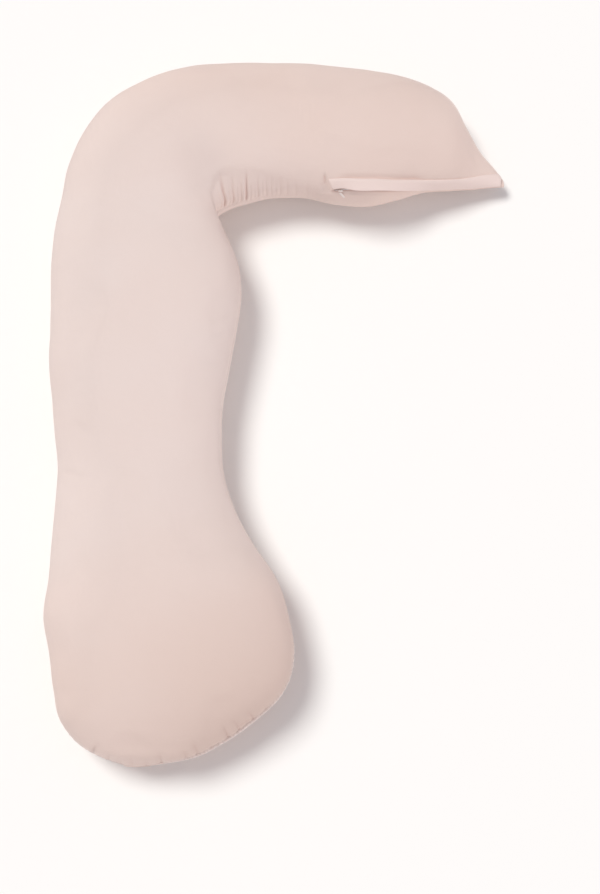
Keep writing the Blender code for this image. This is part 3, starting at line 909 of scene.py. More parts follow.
    def paint_flat_map(self, mesh: bpy.types.Mesh) -> None:
        """Lays each panel out flat as the mesh's UV map, in metres, so that the knit keeps its size."""
        flat = np.concatenate([
            np.repeat(self.skin.flat[:1], self.end_rings, axis=0),
            self.skin.flat,
            np.repeat(self.skin.flat[-1:], self.end_rings, axis=0),
        ]).reshape(-1, 2)
        corners = np.empty(len(mesh.loops), dtype=np.int64)
        mesh.loops.foreach_get("vertex_index", corners)
        layer = mesh.uv_layers.new(name="flat_panels")
        layer.data.foreach_set("uv", flat[corners].reshape(-1))

    def paint_crease_shade(self, mesh: bpy.types.Mesh, creases: np.ndarray) -> None:
        """Stores a painted shade share from 0 to 1 as the attribute fold: how deep in a crease each point lies, with
        more painted shade in the zip's groove and under the flap's edge.
        """
        along = self.skin.inner_along
        in_zip = smooth_step((along - self.zip_start) / 0.006 + 1) * smooth_step((self.zip_end - along) / 0.006)
        # painted shade in the zip's groove, and a painted shadow line on the cover just under the flap's free edge
        groove = self.groove_shade * in_zip[:, None] * bell(self.skin.inner_climb, 0.0030)
        flap_shadow = bell(self.skin.inner_climb + self.flap_shadow_climb, self.flap_shadow_width)
        groove = np.maximum(groove, self.flap_shadow_strength * in_zip[:, None] * flap_shadow)
        shade_share = np.clip(creases / self.deepest_crease + groove, 0.0, 1.0)
        padded = np.pad(shade_share, ((self.end_rings, self.end_rings), (0, 0)), mode="edge")
        layer = mesh.attributes.new("fold", "FLOAT", "POINT")
        layer.data.foreach_set("value", padded.reshape(-1).astype(np.float32))

    def paint_hollow_shade(self, mesh: bpy.types.Mesh, hollows: np.ndarray) -> None:
        """Stores how deep in a soft hollow each point lies, from 0 to 1, as a point attribute that paints shade into
        the hollow.
        """
        padded = np.pad(hollows / self.deepest_hollow, ((self.end_rings, self.end_rings), (0, 0)), mode="edge")
        layer = mesh.attributes.new("painted_hollow_shade", "FLOAT", "POINT")
        layer.data.foreach_set("value", np.clip(padded, 0.0, 1.0).reshape(-1).astype(np.float32))

    def paint_seam_map(self, mesh: bpy.types.Mesh) -> None:
        """Stores each point's place beside its nearest seam, and how strongly that seam puckers there.

        The UV map seam_map holds the distance along the seam and the distance from it, in metres, and
        the attribute pucker the strength from 0 to 1.
        """
        skin = self.skin
        nearer_inner = np.abs(skin.inner_climb) < np.abs(skin.outer_climb)
        walk = np.where(nearer_inner, skin.inner_walk[:, None], skin.outer_walk[:, None] + 3.0)
        climb = np.where(nearer_inner, skin.inner_climb, skin.outer_climb)
        inner, outer = self.pucker_strengths()
        at_zip = smooth_step((skin.inner_along - self.zip_start) / 0.02 + 1)[:, None]
        strength = np.where(nearer_inner, inner * (1 - at_zip), outer)
        ends = ((self.end_rings, self.end_rings), (0, 0))
        places = np.stack([np.pad(walk, ends, mode="edge"), np.pad(climb, ends, mode="edge")], axis=-1)
        corners = np.empty(len(mesh.loops), dtype=np.int64)
        mesh.loops.foreach_get("vertex_index", corners)
        layer = mesh.uv_layers.new(name="seam_map")
        layer.data.foreach_set("uv", places.reshape(-1, 2)[corners].reshape(-1))
        amount = mesh.attributes.new("pucker", "FLOAT", "POINT")
        amount.data.foreach_set("value", np.pad(strength, ends, mode="edge").reshape(-1).astype(np.float32))

    def spot(self, along: float, climb: float, lift: float) -> tuple[np.ndarray, np.ndarray]:
        """A point over the cover as it is before its seams and folds are drawn in.

        Args:
            along: Distance along the inner seam from the crook's corner.
            climb: Distance up the skin from that seam, negative on the back panel.
            lift: Height over the skin.

        Returns:
            The point, and the skin's outward normal there.
        """
        ring = float(np.interp(along, self.skin.inner_along, np.arange(self.rings)))
        low = min(int(ring), self.rings - 2)
        share = ring - low
        order = np.concatenate([np.arange(self.steps, 2 * self.steps), np.arange(0, self.steps)])
        read = []
        for values in (self.plain_points, self.plain_normals):
            rows = [read_at(self.skin.inner_climb[i][order], values[i][order], climb) for i in (low, low + 1)]
            read.append(rows[0] * (1 - share) + rows[1] * share)
        outward = read[1] / np.linalg.norm(read[1])
        return read[0] + outward * lift, outward

    def panel_width(self, along: float) -> float:
        """How wide the top panel is, over the crown, where the inner seam is this far along."""
        widths = self.skin.inner_climb[:, self.steps - 1]
        return float(np.interp(along, self.skin.inner_along, widths))


@dataclass
class ZipFlap:
    """The folded strip of jersey over the zip: sewn on along its upper edge, free along its fold."""

    cover: PillowCover
    start: float = 0.226
    end: float = 0.548
    slant: float = 0.011
    fold_climbs: tuple[tuple[float, float], ...] = (
        (0.209, 0.0066),
        (0.226, 0.0064),
        (0.245, 0.0050),
        (0.262, 0.0028),
        (0.280, 0.0024),
        (0.330, 0.0066),
        (0.400, 0.0086),
        (0.548, 0.0044),
    )
    sewn_climbs: tuple[tuple[float, float], ...] = (
        (0.209, 0.0335),
        (0.224, 0.0275),
        (0.250, 0.0230),
        (0.274, 0.0218),
        (0.341, 0.0251),
        (0.370, 0.0276),
        (0.409, 0.0300),
        (0.437, 0.0315),
    )
    width: float = 0.025
    panel_share: float = 0.8
    gap: float = 0.0004
    thickness: float = 0.0026
    free_lift: float = 0.0068
    columns: int = 240
    rows: int = 12
    wave: float = 0.0006
    easing: float = 0.012

    def height(self, up: float) -> float:
        """The strip's thickness over its width, from its fold at 0 to its sewn edge at 1."""
        sewn = 0.45 + 0.55 * float(smooth_step((1 - up) / 0.22))
        return self.thickness * sewn * (1 + 0.10 * math.sin(math.pi * up))

    def lift(self, along: float, up: float) -> float:
        """How far the strip's underside stands off the cover."""
        raised = 0.25 + 0.75 * float(smooth_step((along - self.start - 0.012) / 0.03))
        raised *= float(smooth_step((self.end - 0.05 - along) / 0.15))
        return self.gap + self.free_lift * raised * (1 - up) ** 2

    def climbs(self, along: float) -> tuple[float, float]:
        """Where the strip's fold and its sewn edge lie up the skin."""
        ripple = self.wave * noise.noise(Vector((along / 0.045, 4.1, 0.2)))
        near = along + np.linspace(-self.easing, self.easing, 9)
        low = float(np.mean(np.interp(near, *zip(*self.fold_climbs))))
        high = float(np.mean(np.interp(near, *zip(*self.sewn_climbs))))
        high = min(high, self.panel_share * self.cover.panel_width(along))
        return low + ripple, high + 0.5 * ripple

    def outline(self) -> list[tuple[float, float]]:
        """The strip's cross-section, as shares up its width and through its thickness."""
        fold = [(0.5 * self.thickness / self.width * (1 - math.sin(a)), 0.5 - 0.5 * math.cos(a))
                for a in np.linspace(0, math.pi, 7)]
        top = [(up, 1.0) for up in np.linspace(0.10, 1.0, self.rows)]
        under = [(up, 0.0) for up in np.linspace(1.0, 0.10, self.rows)]
        return fold + top + under

    def build(self, finish: JerseyFinish) -> bpy.types.Object:
        """Makes the strip and dresses it.

        Args:
            finish: The jersey's finish.

        Returns:
            The strip, in the place of the solid one.
        """
        outline = self.outline()
        rings = []
        flat = []
        for column in range(self.columns + 1):
            ring = []
            for up, through in outline:
                along = self.start - self.slant * up
                along += (self.end - along) * column / self.columns
                low, high = self.climbs(along)
                lift = self.lift(along, up) + through * self.height(up)
                point, _ = self.cover.spot(along, low + (high - low) * up, lift)
                ring.append(point)
                flat.append((along, low + (high - low) * up + 0.1 * through))
            rings.append(ring)
        around = len(outline)
        points = np.array(rings)
        faces = [
            (i * around + k, (i + 1) * around + k, (i + 1) * around + (k + 1) % around, i * around + (k + 1) % around)
            for i in range(self.columns)
            for k in range(around)
        ]
        faces.append(tuple(reversed(range(around))))
        faces.append(tuple(range(self.columns * around, (self.columns + 1) * around)))
        mesh = mesh_from("zip_flap_cloth", points, faces)
        face_outwards(mesh)
        corners = np.empty(len(mesh.loops), dtype=np.int64)
        mesh.loops.foreach_get("vertex_index", corners)
        layer = mesh.uv_layers.new(name="flat_panels")
        layer.data.foreach_set("uv", np.array(flat)[corners].reshape(-1))
        mesh.materials.append(finish.material())
        flap = new_object("zip_flap_cloth", mesh)
        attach(flap, "root")
        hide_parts("zip_flap")
        return flap


def face_outwards(mesh: bpy.types.Mesh) -> None:
    """Turns all faces of a closed mesh outwards."""
    shape = bmesh.new()
    shape.from_mesh(mesh)
    bmesh.ops.recalc_face_normals(shape, faces=shape.faces)
    shape.to_mesh(mesh)
    shape.free()


class PathPoint(NamedTuple):
    """A point of a row of small pieces, with the row's outward direction."""

    place: np.ndarray
    outward: np.ndarray


@dataclass
class PieceRow:
    """A row of small rounded pieces along a path on the cover: stitches, or a zip's teeth.

    Attributes:
        name: The finished piece's name.
        pitch: Distance from piece to piece.
        length: Each piece's length.
        radius: Each piece's radius.
        turn: Angle of each piece from the row's own direction.
        flatness: Each piece's height as a share of its width.
    """

    name: str
    pitch: float
    length: float
    radius: float
    turn: float = 0.0
    flatness: float = 0.8

    def tree(self) -> bpy.types.NodeTree:
        """Builds the Geometry Nodes tree that sets one rounded piece at each step of a path."""
        tree = bpy.data.node_groups.new("row of rounded pieces", "GeometryNodeTree")
        face = tree.interface
        face.new_socket("Geometry", in_out="INPUT", socket_type="NodeSocketGeometry")
        for label in ("Pitch", "Length", "Radius", "Turn", "Flatness"):
            face.new_socket(label, in_out="INPUT", socket_type="NodeSocketFloat")
        face.new_socket("Finish", in_out="INPUT", socket_type="NodeSocketMaterial")
        face.new_socket("Geometry", in_out="OUTPUT", socket_type="NodeSocketGeometry")
        nodes, links = tree.nodes, tree.links
        given = nodes.new("NodeGroupInput")
        result = nodes.new("NodeGroupOutput")
        path = nodes.new("GeometryNodeMeshToCurve")
        resample = nodes.new("GeometryNodeResampleCurve")
        resample.mode = "LENGTH"
        outward = nodes.new("GeometryNodeInputNamedAttribute")
        outward.data_type = "FLOAT_VECTOR"
        outward.inputs["Name"].default_value = "outward"
        tangent = nodes.new("GeometryNodeInputTangent")
        axes = nodes.new("FunctionNodeAxesToRotation")
        axes.primary_axis = "Z"
        axes.secondary_axis = "X"
        spin = nodes.new("FunctionNodeRotateRotation")
        spin.rotation_space = "LOCAL"
        spin_angle = nodes.new("FunctionNodeAxisAngleToRotation")
        ball = nodes.new("GeometryNodeMeshUVSphere")
        ball.inputs["Segments"].default_value = 8
        ball.inputs["Rings"].default_value = 5
        ball.inputs["Radius"].default_value = 0.5
        size = nodes.new("ShaderNodeCombineXYZ")
        wide = nodes.new("ShaderNodeMath")
        wide.operation = "MULTIPLY"
        wide.inputs[1].default_value = 2.0
        high = nodes.new("ShaderNodeMath")
        high.operation = "MULTIPLY"
        place = nodes.new("GeometryNodeInstanceOnPoints")
        realize = nodes.new("GeometryNodeRealizeInstances")
        smooth = nodes.new("GeometryNodeSetShadeSmooth")
        dress = nodes.new("GeometryNodeSetMaterial")
        links.new(given.outputs["Geometry"], path.inputs["Mesh"])
        links.new(path.outputs["Curve"], resample.inputs["Curve"])
        links.new(given.outputs["Pitch"], resample.inputs["Length"])
        links.new(outward.outputs["Attribute"], axes.inputs["Primary Axis"])
        links.new(tangent.outputs["Tangent"], axes.inputs["Secondary Axis"])
        links.new(given.outputs["Turn"], spin_angle.inputs["Angle"])
        links.new(axes.outputs["Rotation"], spin.inputs["Rotation"])
        links.new(spin_angle.outputs["Rotation"], spin.inputs["Rotate By"])
        links.new(given.outputs["Radius"], wide.inputs[0])
        links.new(wide.outputs["Value"], high.inputs[0])
        links.new(given.outputs["Flatness"], high.inputs[1])
        links.new(given.outputs["Length"], size.inputs["X"])
        links.new(wide.outputs["Value"], size.inputs["Y"])
        links.new(high.outputs["Value"], size.inputs["Z"])
        links.new(resample.outputs["Curve"], place.inputs["Points"])
        links.new(ball.outputs["Mesh"], place.inputs["Instance"])
        links.new(spin.outputs["Rotation"], place.inputs["Rotation"])
        links.new(size.outputs["Vector"], place.inputs["Scale"])
        links.new(place.outputs["Instances"], realize.inputs["Geometry"])
        links.new(realize.outputs["Geometry"], smooth.inputs["Geometry"])
        links.new(smooth.outputs["Geometry"], dress.inputs["Geometry"])
        links.new(given.outputs["Finish"], dress.inputs["Material"])
        links.new(dress.outputs["Geometry"], result.inputs["Geometry"])
        return tree

    def build(self, path: list[PathPoint], finish: bpy.types.Material) -> bpy.types.Mesh:
        """Sets the pieces along a path.

        Args:
            path: The points that the row follows.
            finish: The pieces' material.

        Returns:
            A plain mesh of all the pieces.
        """
        line = bpy.data.meshes.new(self.name + "_line")
        places = [tuple(point.place) for point in path]
        line.from_pydata(places, [(k, k + 1) for k in range(len(places) - 1)], [])
        layer = line.attributes.new("outward", "FLOAT_VECTOR", "POINT")
        layer.data.foreach_set("vector", np.array([point.outward for point in path]).reshape(-1))
        guide = new_object(self.name + "_line", line)
        modifier = guide.modifiers.new("row", "NODES")
        modifier.node_group = self.tree()
        values = {
            "Pitch": self.pitch,
            "Length": self.length,
            "Radius": self.radius,
            "Turn": self.turn,
            "Flatness": self.flatness,
            "Finish": finish,
        }
        for item in modifier.node_group.interface.items_tree:
            if item.in_out == "INPUT" and item.name in values:
                modifier[item.identifier] = values[item.name]
        evaluated = guide.evaluated_get(bpy.context.evaluated_depsgraph_get())
        mesh = bpy.data.meshes.new_from_object(evaluated)
        mesh.name = self.name
        guide.modifiers.remove(modifier)
        bpy.data.objects.remove(guide, do_unlink=True)
        bpy.data.meshes.remove(line)
        return mesh


def joined(name: str, meshes: list[bpy.types.Mesh]) -> bpy.types.Mesh:
    """Joins meshes of one material into one.

    Args:
        name: The new mesh's name.
        meshes: The meshes, which are removed.

    Returns:
        The joined mesh, with the first one's material.
    """
    shape = bmesh.new()
    for mesh in meshes:
        shape.from_mesh(mesh)
    made = bpy.data.meshes.new(name)
    shape.to_mesh(made)
    shape.free()
    for material in meshes[0].materials:
        made.materials.append(material)
    for mesh in meshes:
        bpy.data.meshes.remove(mesh)
    made.shade_smooth()
    return made


@dataclass
class ZipChain:
    """The zip's closed coil in the groove under the flap: two rows of teeth on a woven tape."""

    cover: PillowCover
    start: float = 0.2275
    end: float = 0.470
    depth: float = 0.0020
    tooth_pitch: float = 0.00145
    tooth_length: float = 0.0021
    tooth_radius: float = 0.00052
    tooth_apart: float = 0.0011
    tape_width: float = 0.0056
    tape_depth: float = 0.0031
    tape_steps: int = 120

    def path(self, climb: float, shift: float, lift: float) -> list[PathPoint]:
        """A line along the groove.

        Args:
            climb: How far up or down the skin from the seam.
            shift: How far it starts after the zip's own start.
            lift: Its height over the plain skin.

        Returns:
            The line's points.
        """
        alongs = np.linspace(self.start + shift, self.end, self.tape_steps)
        return [PathPoint(*self.cover.spot(along, climb, lift)) for along in alongs]

    def build(self, finish: EnamelFinish) -> bpy.types.Object:
        """Makes the teeth and their tape, and dresses them."""
        material = finish.material()
        row = PieceRow("teeth", self.tooth_pitch, self.tooth_length, self.tooth_radius, turn=math.radians(62))
        other = PieceRow("teeth", self.tooth_pitch, self.tooth_length, self.tooth_radius, turn=math.radians(118))
        half = self.tooth_apart / 2
        meshes = [
            row.build(self.path(half, 0.0, -self.depth), material),
            other.build(self.path(-half, self.tooth_pitch / 2, -self.depth), material),
            self.tape(material),
        ]
        chain = new_object("zip_teeth", joined("zip_teeth", meshes))
        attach(chain, "root")
        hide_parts("zip_chain")
        return chain

    def tape(self, material: bpy.types.Material) -> bpy.types.Mesh:
        """The tape under the teeth, a thin closed ribbon."""
        half, thin = self.tape_width / 2, 0.0005
        corners = ((-half, 0.0), (half, 0.0), (half, thin), (-half, thin))
        points = []
        for along in np.linspace(self.start, self.end, self.tape_steps):
            for climb, lift in corners:
                points.append(self.cover.spot(along, climb, lift - self.tape_depth)[0])
        faces = [
            (4 * i + k, 4 * i + 4 + k, 4 * i + 4 + (k + 1) % 4, 4 * i + (k + 1) % 4)
            for i in range(self.tape_steps - 1)
            for k in range(4)
        ]
        faces += [(3, 2, 1, 0), tuple(4 * (self.tape_steps - 1) + k for k in range(4))]
        mesh = mesh_from("tape", np.array(points), faces)
        face_outwards(mesh)
        mesh.materials.append(material)
        return mesh


class StitchKind(Enum):
    """The rows of thread on the flap."""

    SEWN_EDGE = "sewn_edge"
    HEM = "hem"
    END_TACK = "end_tack"


@dataclass
class FlapStitching:
    """The thread on the flap: a row along its sewn edge, one above its fold, and a tack at its end."""

    flap: ZipFlap
    pitch: float = 0.0029
    length: float = 0.0023
    radius: float = 0.00024
    sunk: float = 0.00004

    def path(self, kind: StitchKind) -> list[PathPoint]:
        """Where a row of thread runs on the flap's face.

        Args:
            kind: Which row.

        Returns:
            The row's points.
        """
        flap = self.flap
        ends = {
            StitchKind.SEWN_EDGE: (0.90, 0.90, 0.002, 0.990),
            StitchKind.HEM: (0.20, 0.20, 0.004, 0.985),
            StitchKind.END_TACK: (0.42, 0.46, 0.010, 0.040),
        }[kind]
        points = []
        for share in np.linspace(0.0, 1.0, 160):
            up = ends[0] + (ends[1] - ends[0]) * share
            start = flap.start - flap.slant * up
            along = start + (flap.end - start) * (ends[2] + (ends[3] - ends[2]) * share)
            low, high = flap.climbs(along)
            lift = flap.lift(along, up) + flap.height(up) - self.sunk
            points.append(PathPoint(*flap.cover.spot(along, low + (high - low) * up, lift)))
        return points

    def build(self, finish: ThreadFinish) -> bpy.types.Object:
        """Makes the rows of thread and dresses them."""
        material = finish.material()
        meshes = []
        for kind in StitchKind:
            tack = kind is StitchKind.END_TACK
            pitch = 0.0011 if tack else self.pitch
            turn = math.radians(80) if tack else 0.0
            row = PieceRow("thread", pitch, self.length, self.radius, turn=turn)
            meshes.append(row.build(self.path(kind), material))
        thread = new_object("flap_stitches", joined("flap_stitches", meshes))
        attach(thread, "root")
        return thread


@dataclass
class ZipSlider:
    """The zip's slider at the flap's open end, and the small tab that hangs from its bridge."""

    cover: PillowCover
    along: float = 0.239
    climb: float = -0.0016
    lift: float = 0.0013
    length: float = 0.0086
    width: float = 0.0050
    plate: float = 0.0009
    height: float = 0.0030
    bridge: float = 0.0009
    tab_length: float = 0.0165
    tab_width: float = 0.0042
    tab_thickness: float = 0.0011
    tab_turn: float = math.radians(24)
    tab_gap: float = 0.0005

    def frame_at(self, along: float, climb: float, lift: float) -> Matrix:
        """A frame on the cover: X along the zip, Y up the skin, Z outwards."""
        here, outward = self.cover.spot(along, climb, lift)
        ahead, _ = self.cover.spot(along + 0.002, climb, lift)
        normal = Vector(outward)
        up = normal.cross(Vector(ahead - here)).normalized()
        axes = Matrix((up.cross(normal), up, normal)).transposed().to_4x4()
        return Matrix.Translation(Vector(here)) @ axes

    @staticmethod
    def rounded_slab(shape: bmesh.types.BMesh, outline: list[tuple[float, float]], low: float, high: float,
                     edge: float) -> None:
        """Adds a slab with rounded edges to a shape.

        Args:
            shape: The shape that it is added to.
            outline: Its outline, X and Y.
            low: Its lower face's height.
            high: Its upper face's height.
            edge: How far its edges are rounded.
        """
        corners = [shape.verts.new((x, y, low)) for x, y in outline]
        bottom = shape.faces.new(list(reversed(corners)))
        upper = bmesh.ops.extrude_face_region(shape, geom=[bottom])
        raised = [item for item in upper["geom"] if isinstance(item, bmesh.types.BMVert)]
        bmesh.ops.translate(shape, verts=raised, vec=(0.0, 0.0, high - low))
        made = set(corners) | set(raised)
        edges = [item for item in shape.edges if set(item.verts) <= made]
        rims = [item for item in edges if abs(item.verts[0].co.z - item.verts[1].co.z) < 1e-9]
        bmesh.ops.bevel(shape, geom=rims, offset=edge, segments=2, affect="EDGES", profile=0.6)

    @staticmethod
    def capsule(length: float, width: float, points: int) -> list[tuple[float, float]]:
        """The outline of a bar with round ends, its length along X."""
        radius = width / 2
        reach = length / 2 - radius
        right = [(reach + radius * math.cos(a), radius * math.sin(a))
                 for a in np.linspace(-math.pi / 2, math.pi / 2, points)]
        left = [(-reach - radius * math.cos(a), -radius * math.sin(a))
                for a in np.linspace(-math.pi / 2, math.pi / 2, points)]
        return right + left

    def finished(self, name: str, node: str, shape: bmesh.types.BMesh, place: Matrix,
                 finish: EnamelFinish) -> bpy.types.Object:
        """Turns a shape into a finished piece in a node's place.

        Args:
            name: The piece's name.
            node: The node that it replaces.
            shape: Its shape, at the origin.
            place: Its frame on the cover.
            finish: Its finish.

        Returns:
            The piece.
        """
        bmesh.ops.recalc_face_normals(shape, faces=shape.faces)
        shape.transform(place)
        mesh = bpy.data.meshes.new(name)
        shape.to_mesh(mesh)
        shape.free()
        mesh.shade_smooth()
        mesh.materials.append(finish.material())
        piece = new_object(name, mesh)
        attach(piece, "root")
        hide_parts(node)
        return piece

    def build(self, finish: EnamelFinish) -> list[bpy.types.Object]:
        """Makes the slider and its tab, and dresses them."""
        shell = bmesh.new()
        body = self.capsule(self.length, self.width, 7)
        half = self.height / 2
        tapered = [(x, y * (0.86 if x < 0 else 1.0)) for x, y in body]
        self.rounded_slab(shell, tapered, -half, -half + self.plate, 0.0003)
        self.rounded_slab(shell, tapered, half - 2.1 * self.plate, half - 1.1 * self.plate, 0.0003)
        neck = self.capsule(self.length * 0.42, self.width * 0.34, 5)
        self.rounded_slab(shell, neck, -half + 0.8 * self.plate, half - 2.0 * self.plate, 0.0001)
        bar = self.capsule(self.length * 0.62, self.bridge * 1.5, 5)
        self.rounded_slab(shell, bar, half - 1.0 * self.plate, half, 0.0003)
        slider_at = self.frame_at(self.along, self.climb, self.lift)
        slider = self.finished("slider_shell", "zip_slider", shell, slider_at, finish)
        tab = bmesh.new()
        outline = self.capsule(self.tab_length, self.tab_width, 9)
        thin = self.tab_thickness / 2
        self.rounded_slab(tab, outline, -thin, thin, 0.00035)
        drop = self.tab_length / 2 * math.cos(self.tab_turn) + self.tab_width / 2 * math.sin(self.tab_turn)
        climb = self.climb - self.width / 2 - 0.0003 - drop
        along = self.along + self.tab_length / 2 * math.sin(self.tab_turn)
        tab_at = self.frame_at(along, climb, self.tab_gap + thin)
        turned = tab_at @ Matrix.Rotation(self.tab_turn - math.pi / 2, 4, "Z")
        pull = self.finished("pull_tab", "zip_pull", tab, turned, finish)
        return [slider, pull]


class NodeMaker:
    """Places and links the nodes of one material or group."""

    def __init__(self, tree: bpy.types.NodeTree) -> None:
        self.tree = tree

    def add(self, kind: str, **settings: object) -> bpy.types.Node:
        """Adds a node and sets its plain properties."""
        node = self.tree.nodes.new(kind)
        for name, value in settings.items():
            setattr(node, name, value)
        return node

    def math(self, operation: str, first: object, second: object = 0.0) -> bpy.types.NodeSocket:
        """Adds a Math node on two sockets or numbers, and returns its output."""
        node = self.add("ShaderNodeMath", operation=operation)
        for socket, value in zip(node.inputs, (first, second)):
            if isinstance(value, bpy.types.NodeSocket):
                self.tree.links.new(value, socket)
            else:
                socket.default_value = value
        return node.outputs["Value"]

    def link(self, source: bpy.types.NodeSocket, target: bpy.types.NodeSocket) -> None:
        """Links two sockets."""
        self.tree.links.new(source, target)


def knit_group() -> bpy.types.NodeTree:
    """The shader group of a plain jersey knit: columns of small V-shaped loops, in metres.

    Returns:
        The group, with the inputs Vector, Column and Row and the outputs Height and Loop.
    """
    name = "jersey knit"
    if name in bpy.data.node_groups:
        return bpy.data.node_groups[name]
    tree = bpy.data.node_groups.new(name, "ShaderNodeTree")
    face = tree.interface
    face.new_socket("Vector", in_out="INPUT", socket_type="NodeSocketVector")
    for label, value in (("Column", 0.0011), ("Row", 0.0008)):
        face.new_socket(label, in_out="INPUT", socket_type="NodeSocketFloat").default_value = value
    for label in ("Height", "Loop"):
        face.new_socket(label, in_out="OUTPUT", socket_type="NodeSocketFloat")
    make = NodeMaker(tree)
    given = make.add("NodeGroupInput")
    result = make.add("NodeGroupOutput")
    split = make.add("ShaderNodeSeparateXYZ")
    make.link(given.outputs["Vector"], split.inputs[0])
    column = make.math("DIVIDE", split.outputs["X"], given.outputs["Column"])
    in_column = make.math("FRACT", column)
    from_middle = make.math("ABSOLUTE", make.math("SUBTRACT", in_column, 0.5))
    row = make.math("DIVIDE", split.outputs["Y"], given.outputs["Row"])
    slanted = make.math("SUBTRACT", row, make.math("MULTIPLY", from_middle, 1.1))
    wave = make.math("SINE", make.math("MULTIPLY", slanted, 2 * math.pi))
    loop = make.math("ADD", make.math("MULTIPLY", wave, 0.5), 0.5)
    ridge = make.math("COSINE", make.math("MULTIPLY", from_middle, 2 * math.pi))
    body = make.math("SUBTRACT", 1.0, make.math("POWER", make.math("ABSOLUTE", ridge), 6.0))
    height = make.math("MULTIPLY", make.math("MULTIPLY", loop, 0.6), body)
    make.link(make.math("ADD", height, make.math("MULTIPLY", body, 0.4)), result.inputs["Height"])
    make.link(loop, result.inputs["Loop"])
    return tree


def pucker_group() -> bpy.types.NodeTree:
    """The shader group of the fine creases that run out from a seam, and of the seam's own line.

    Returns:
        The group, with the inputs Vector (along the seam, from the seam), Pitch, Reach and Strength
        and the outputs Crease and Line, from 0 to 1.
    """
    name = "seam puckers"
    if name in bpy.data.node_groups:
        return bpy.data.node_groups[name]
    tree = bpy.data.node_groups.new(name, "ShaderNodeTree")
    face = tree.interface
    face.new_socket("Vector", in_out="INPUT", socket_type="NodeSocketVector")
    for label, value in (("Pitch", 0.006), ("Reach", 0.022), ("Strength", 0.0)):
        face.new_socket(label, in_out="INPUT", socket_type="NodeSocketFloat").default_value = value
    for label in ("Crease", "Line"):
        face.new_socket(label, in_out="OUTPUT", socket_type="NodeSocketFloat")
    make = NodeMaker(tree)
    given = make.add("NodeGroupInput")
    result = make.add("NodeGroupOutput")
    split = make.add("ShaderNodeSeparateXYZ")
    make.link(given.outputs["Vector"], split.inputs[0])
    away = make.math("ABSOLUTE", split.outputs["Y"])
    place = make.add("ShaderNodeCombineXYZ")
    make.link(make.math("DIVIDE", split.outputs["X"], given.outputs["Pitch"]), place.inputs["X"])
    make.link(make.math("DIVIDE", split.outputs["Y"], make.math("MULTIPLY", given.outputs["Reach"], 1.6)),
              place.inputs["Y"])
    cloud = make.add("ShaderNodeTexNoise", noise_dimensions="2D")
    cloud.inputs["Scale"].default_value = 1.0
    cloud.inputs["Detail"].default_value = 1.0
    make.link(place.outputs["Vector"], cloud.inputs["Vector"])
    swing = make.math("ABSOLUTE", make.math("SUBTRACT", cloud.outputs["Fac"], 0.5))
    sharp = make.math("MAXIMUM", make.math("SUBTRACT", 1.0, make.math("MULTIPLY", swing, 9.0)), 0.0)
    near = make.math("MAXIMUM", make.math("SUBTRACT", 1.0, make.math("DIVIDE", away, given.outputs["Reach"])), 0.0)
    creased = make.math("MULTIPLY", make.math("MULTIPLY", sharp, near), given.outputs["Strength"])
    make.link(creased, result.inputs["Crease"])
    close = make.math("SUBTRACT", 1.0, make.math("DIVIDE", away, 0.0011))
    seamed = make.math("MULTIPLY", make.math("MAXIMUM", close, 0.0), given.outputs["Strength"])
    make.link(seamed, result.inputs["Line"])
    return tree


def drift_group() -> bpy.types.NodeTree:
    """The shader group for slow, cloudy changes over a surface.

    Returns:
        The group, with the inputs Vector, Size and Roughness and the output Drift, from 0 to 1.
    """
    name = "slow drift"
    if name in bpy.data.node_groups:
        return bpy.data.node_groups[name]
    tree = bpy.data.node_groups.new(name, "ShaderNodeTree")
    face = tree.interface
    face.new_socket("Vector", in_out="INPUT", socket_type="NodeSocketVector")
    for label, value in (("Size", 0.1), ("Roughness", 0.5)):
        face.new_socket(label, in_out="INPUT", socket_type="NodeSocketFloat").default_value = value
    face.new_socket("Drift", in_out="OUTPUT", socket_type="NodeSocketFloat")
    make = NodeMaker(tree)
    given = make.add("NodeGroupInput")
    result = make.add("NodeGroupOutput")
    cloud = make.add("ShaderNodeTexNoise", noise_dimensions="3D")
    cloud.inputs["Detail"].default_value = 3.0
    make.link(given.outputs["Vector"], cloud.inputs["Vector"])
    make.link(make.math("DIVIDE", 1.0, given.outputs["Size"]), cloud.inputs["Scale"])
    make.link(given.outputs["Roughness"], cloud.inputs["Roughness"])
    spread = make.add("ShaderNodeMapRange")
    spread.inputs["From Min"].default_value = 0.30
    spread.inputs["From Max"].default_value = 0.70
    make.link(cloud.outputs["Fac"], spread.inputs["Value"])
    make.link(spread.outputs["Result"], result.inputs["Drift"])
    return tree


Colour = tuple[float, float, float, float]


def mixed(make: NodeMaker, share: bpy.types.NodeSocket | float, first: object, second: object) -> bpy.types.NodeSocket:
    """Mixes two colours.

    Args:
        make: The maker of the nodes.
        share: How much of the second colour there is.
        first: The first colour, a socket or four numbers.
        second: The second colour, a socket or four numbers.

    Returns:
        The mixed colour's socket.
    """
    node = make.add("ShaderNodeMix", data_type="RGBA")
    for socket, value in ((node.inputs[0], share), (node.inputs[6], first), (node.inputs[7], second)):
        if isinstance(value, bpy.types.NodeSocket):
            make.link(value, socket)
        else:
            socket.default_value = value
    return node.outputs[2]


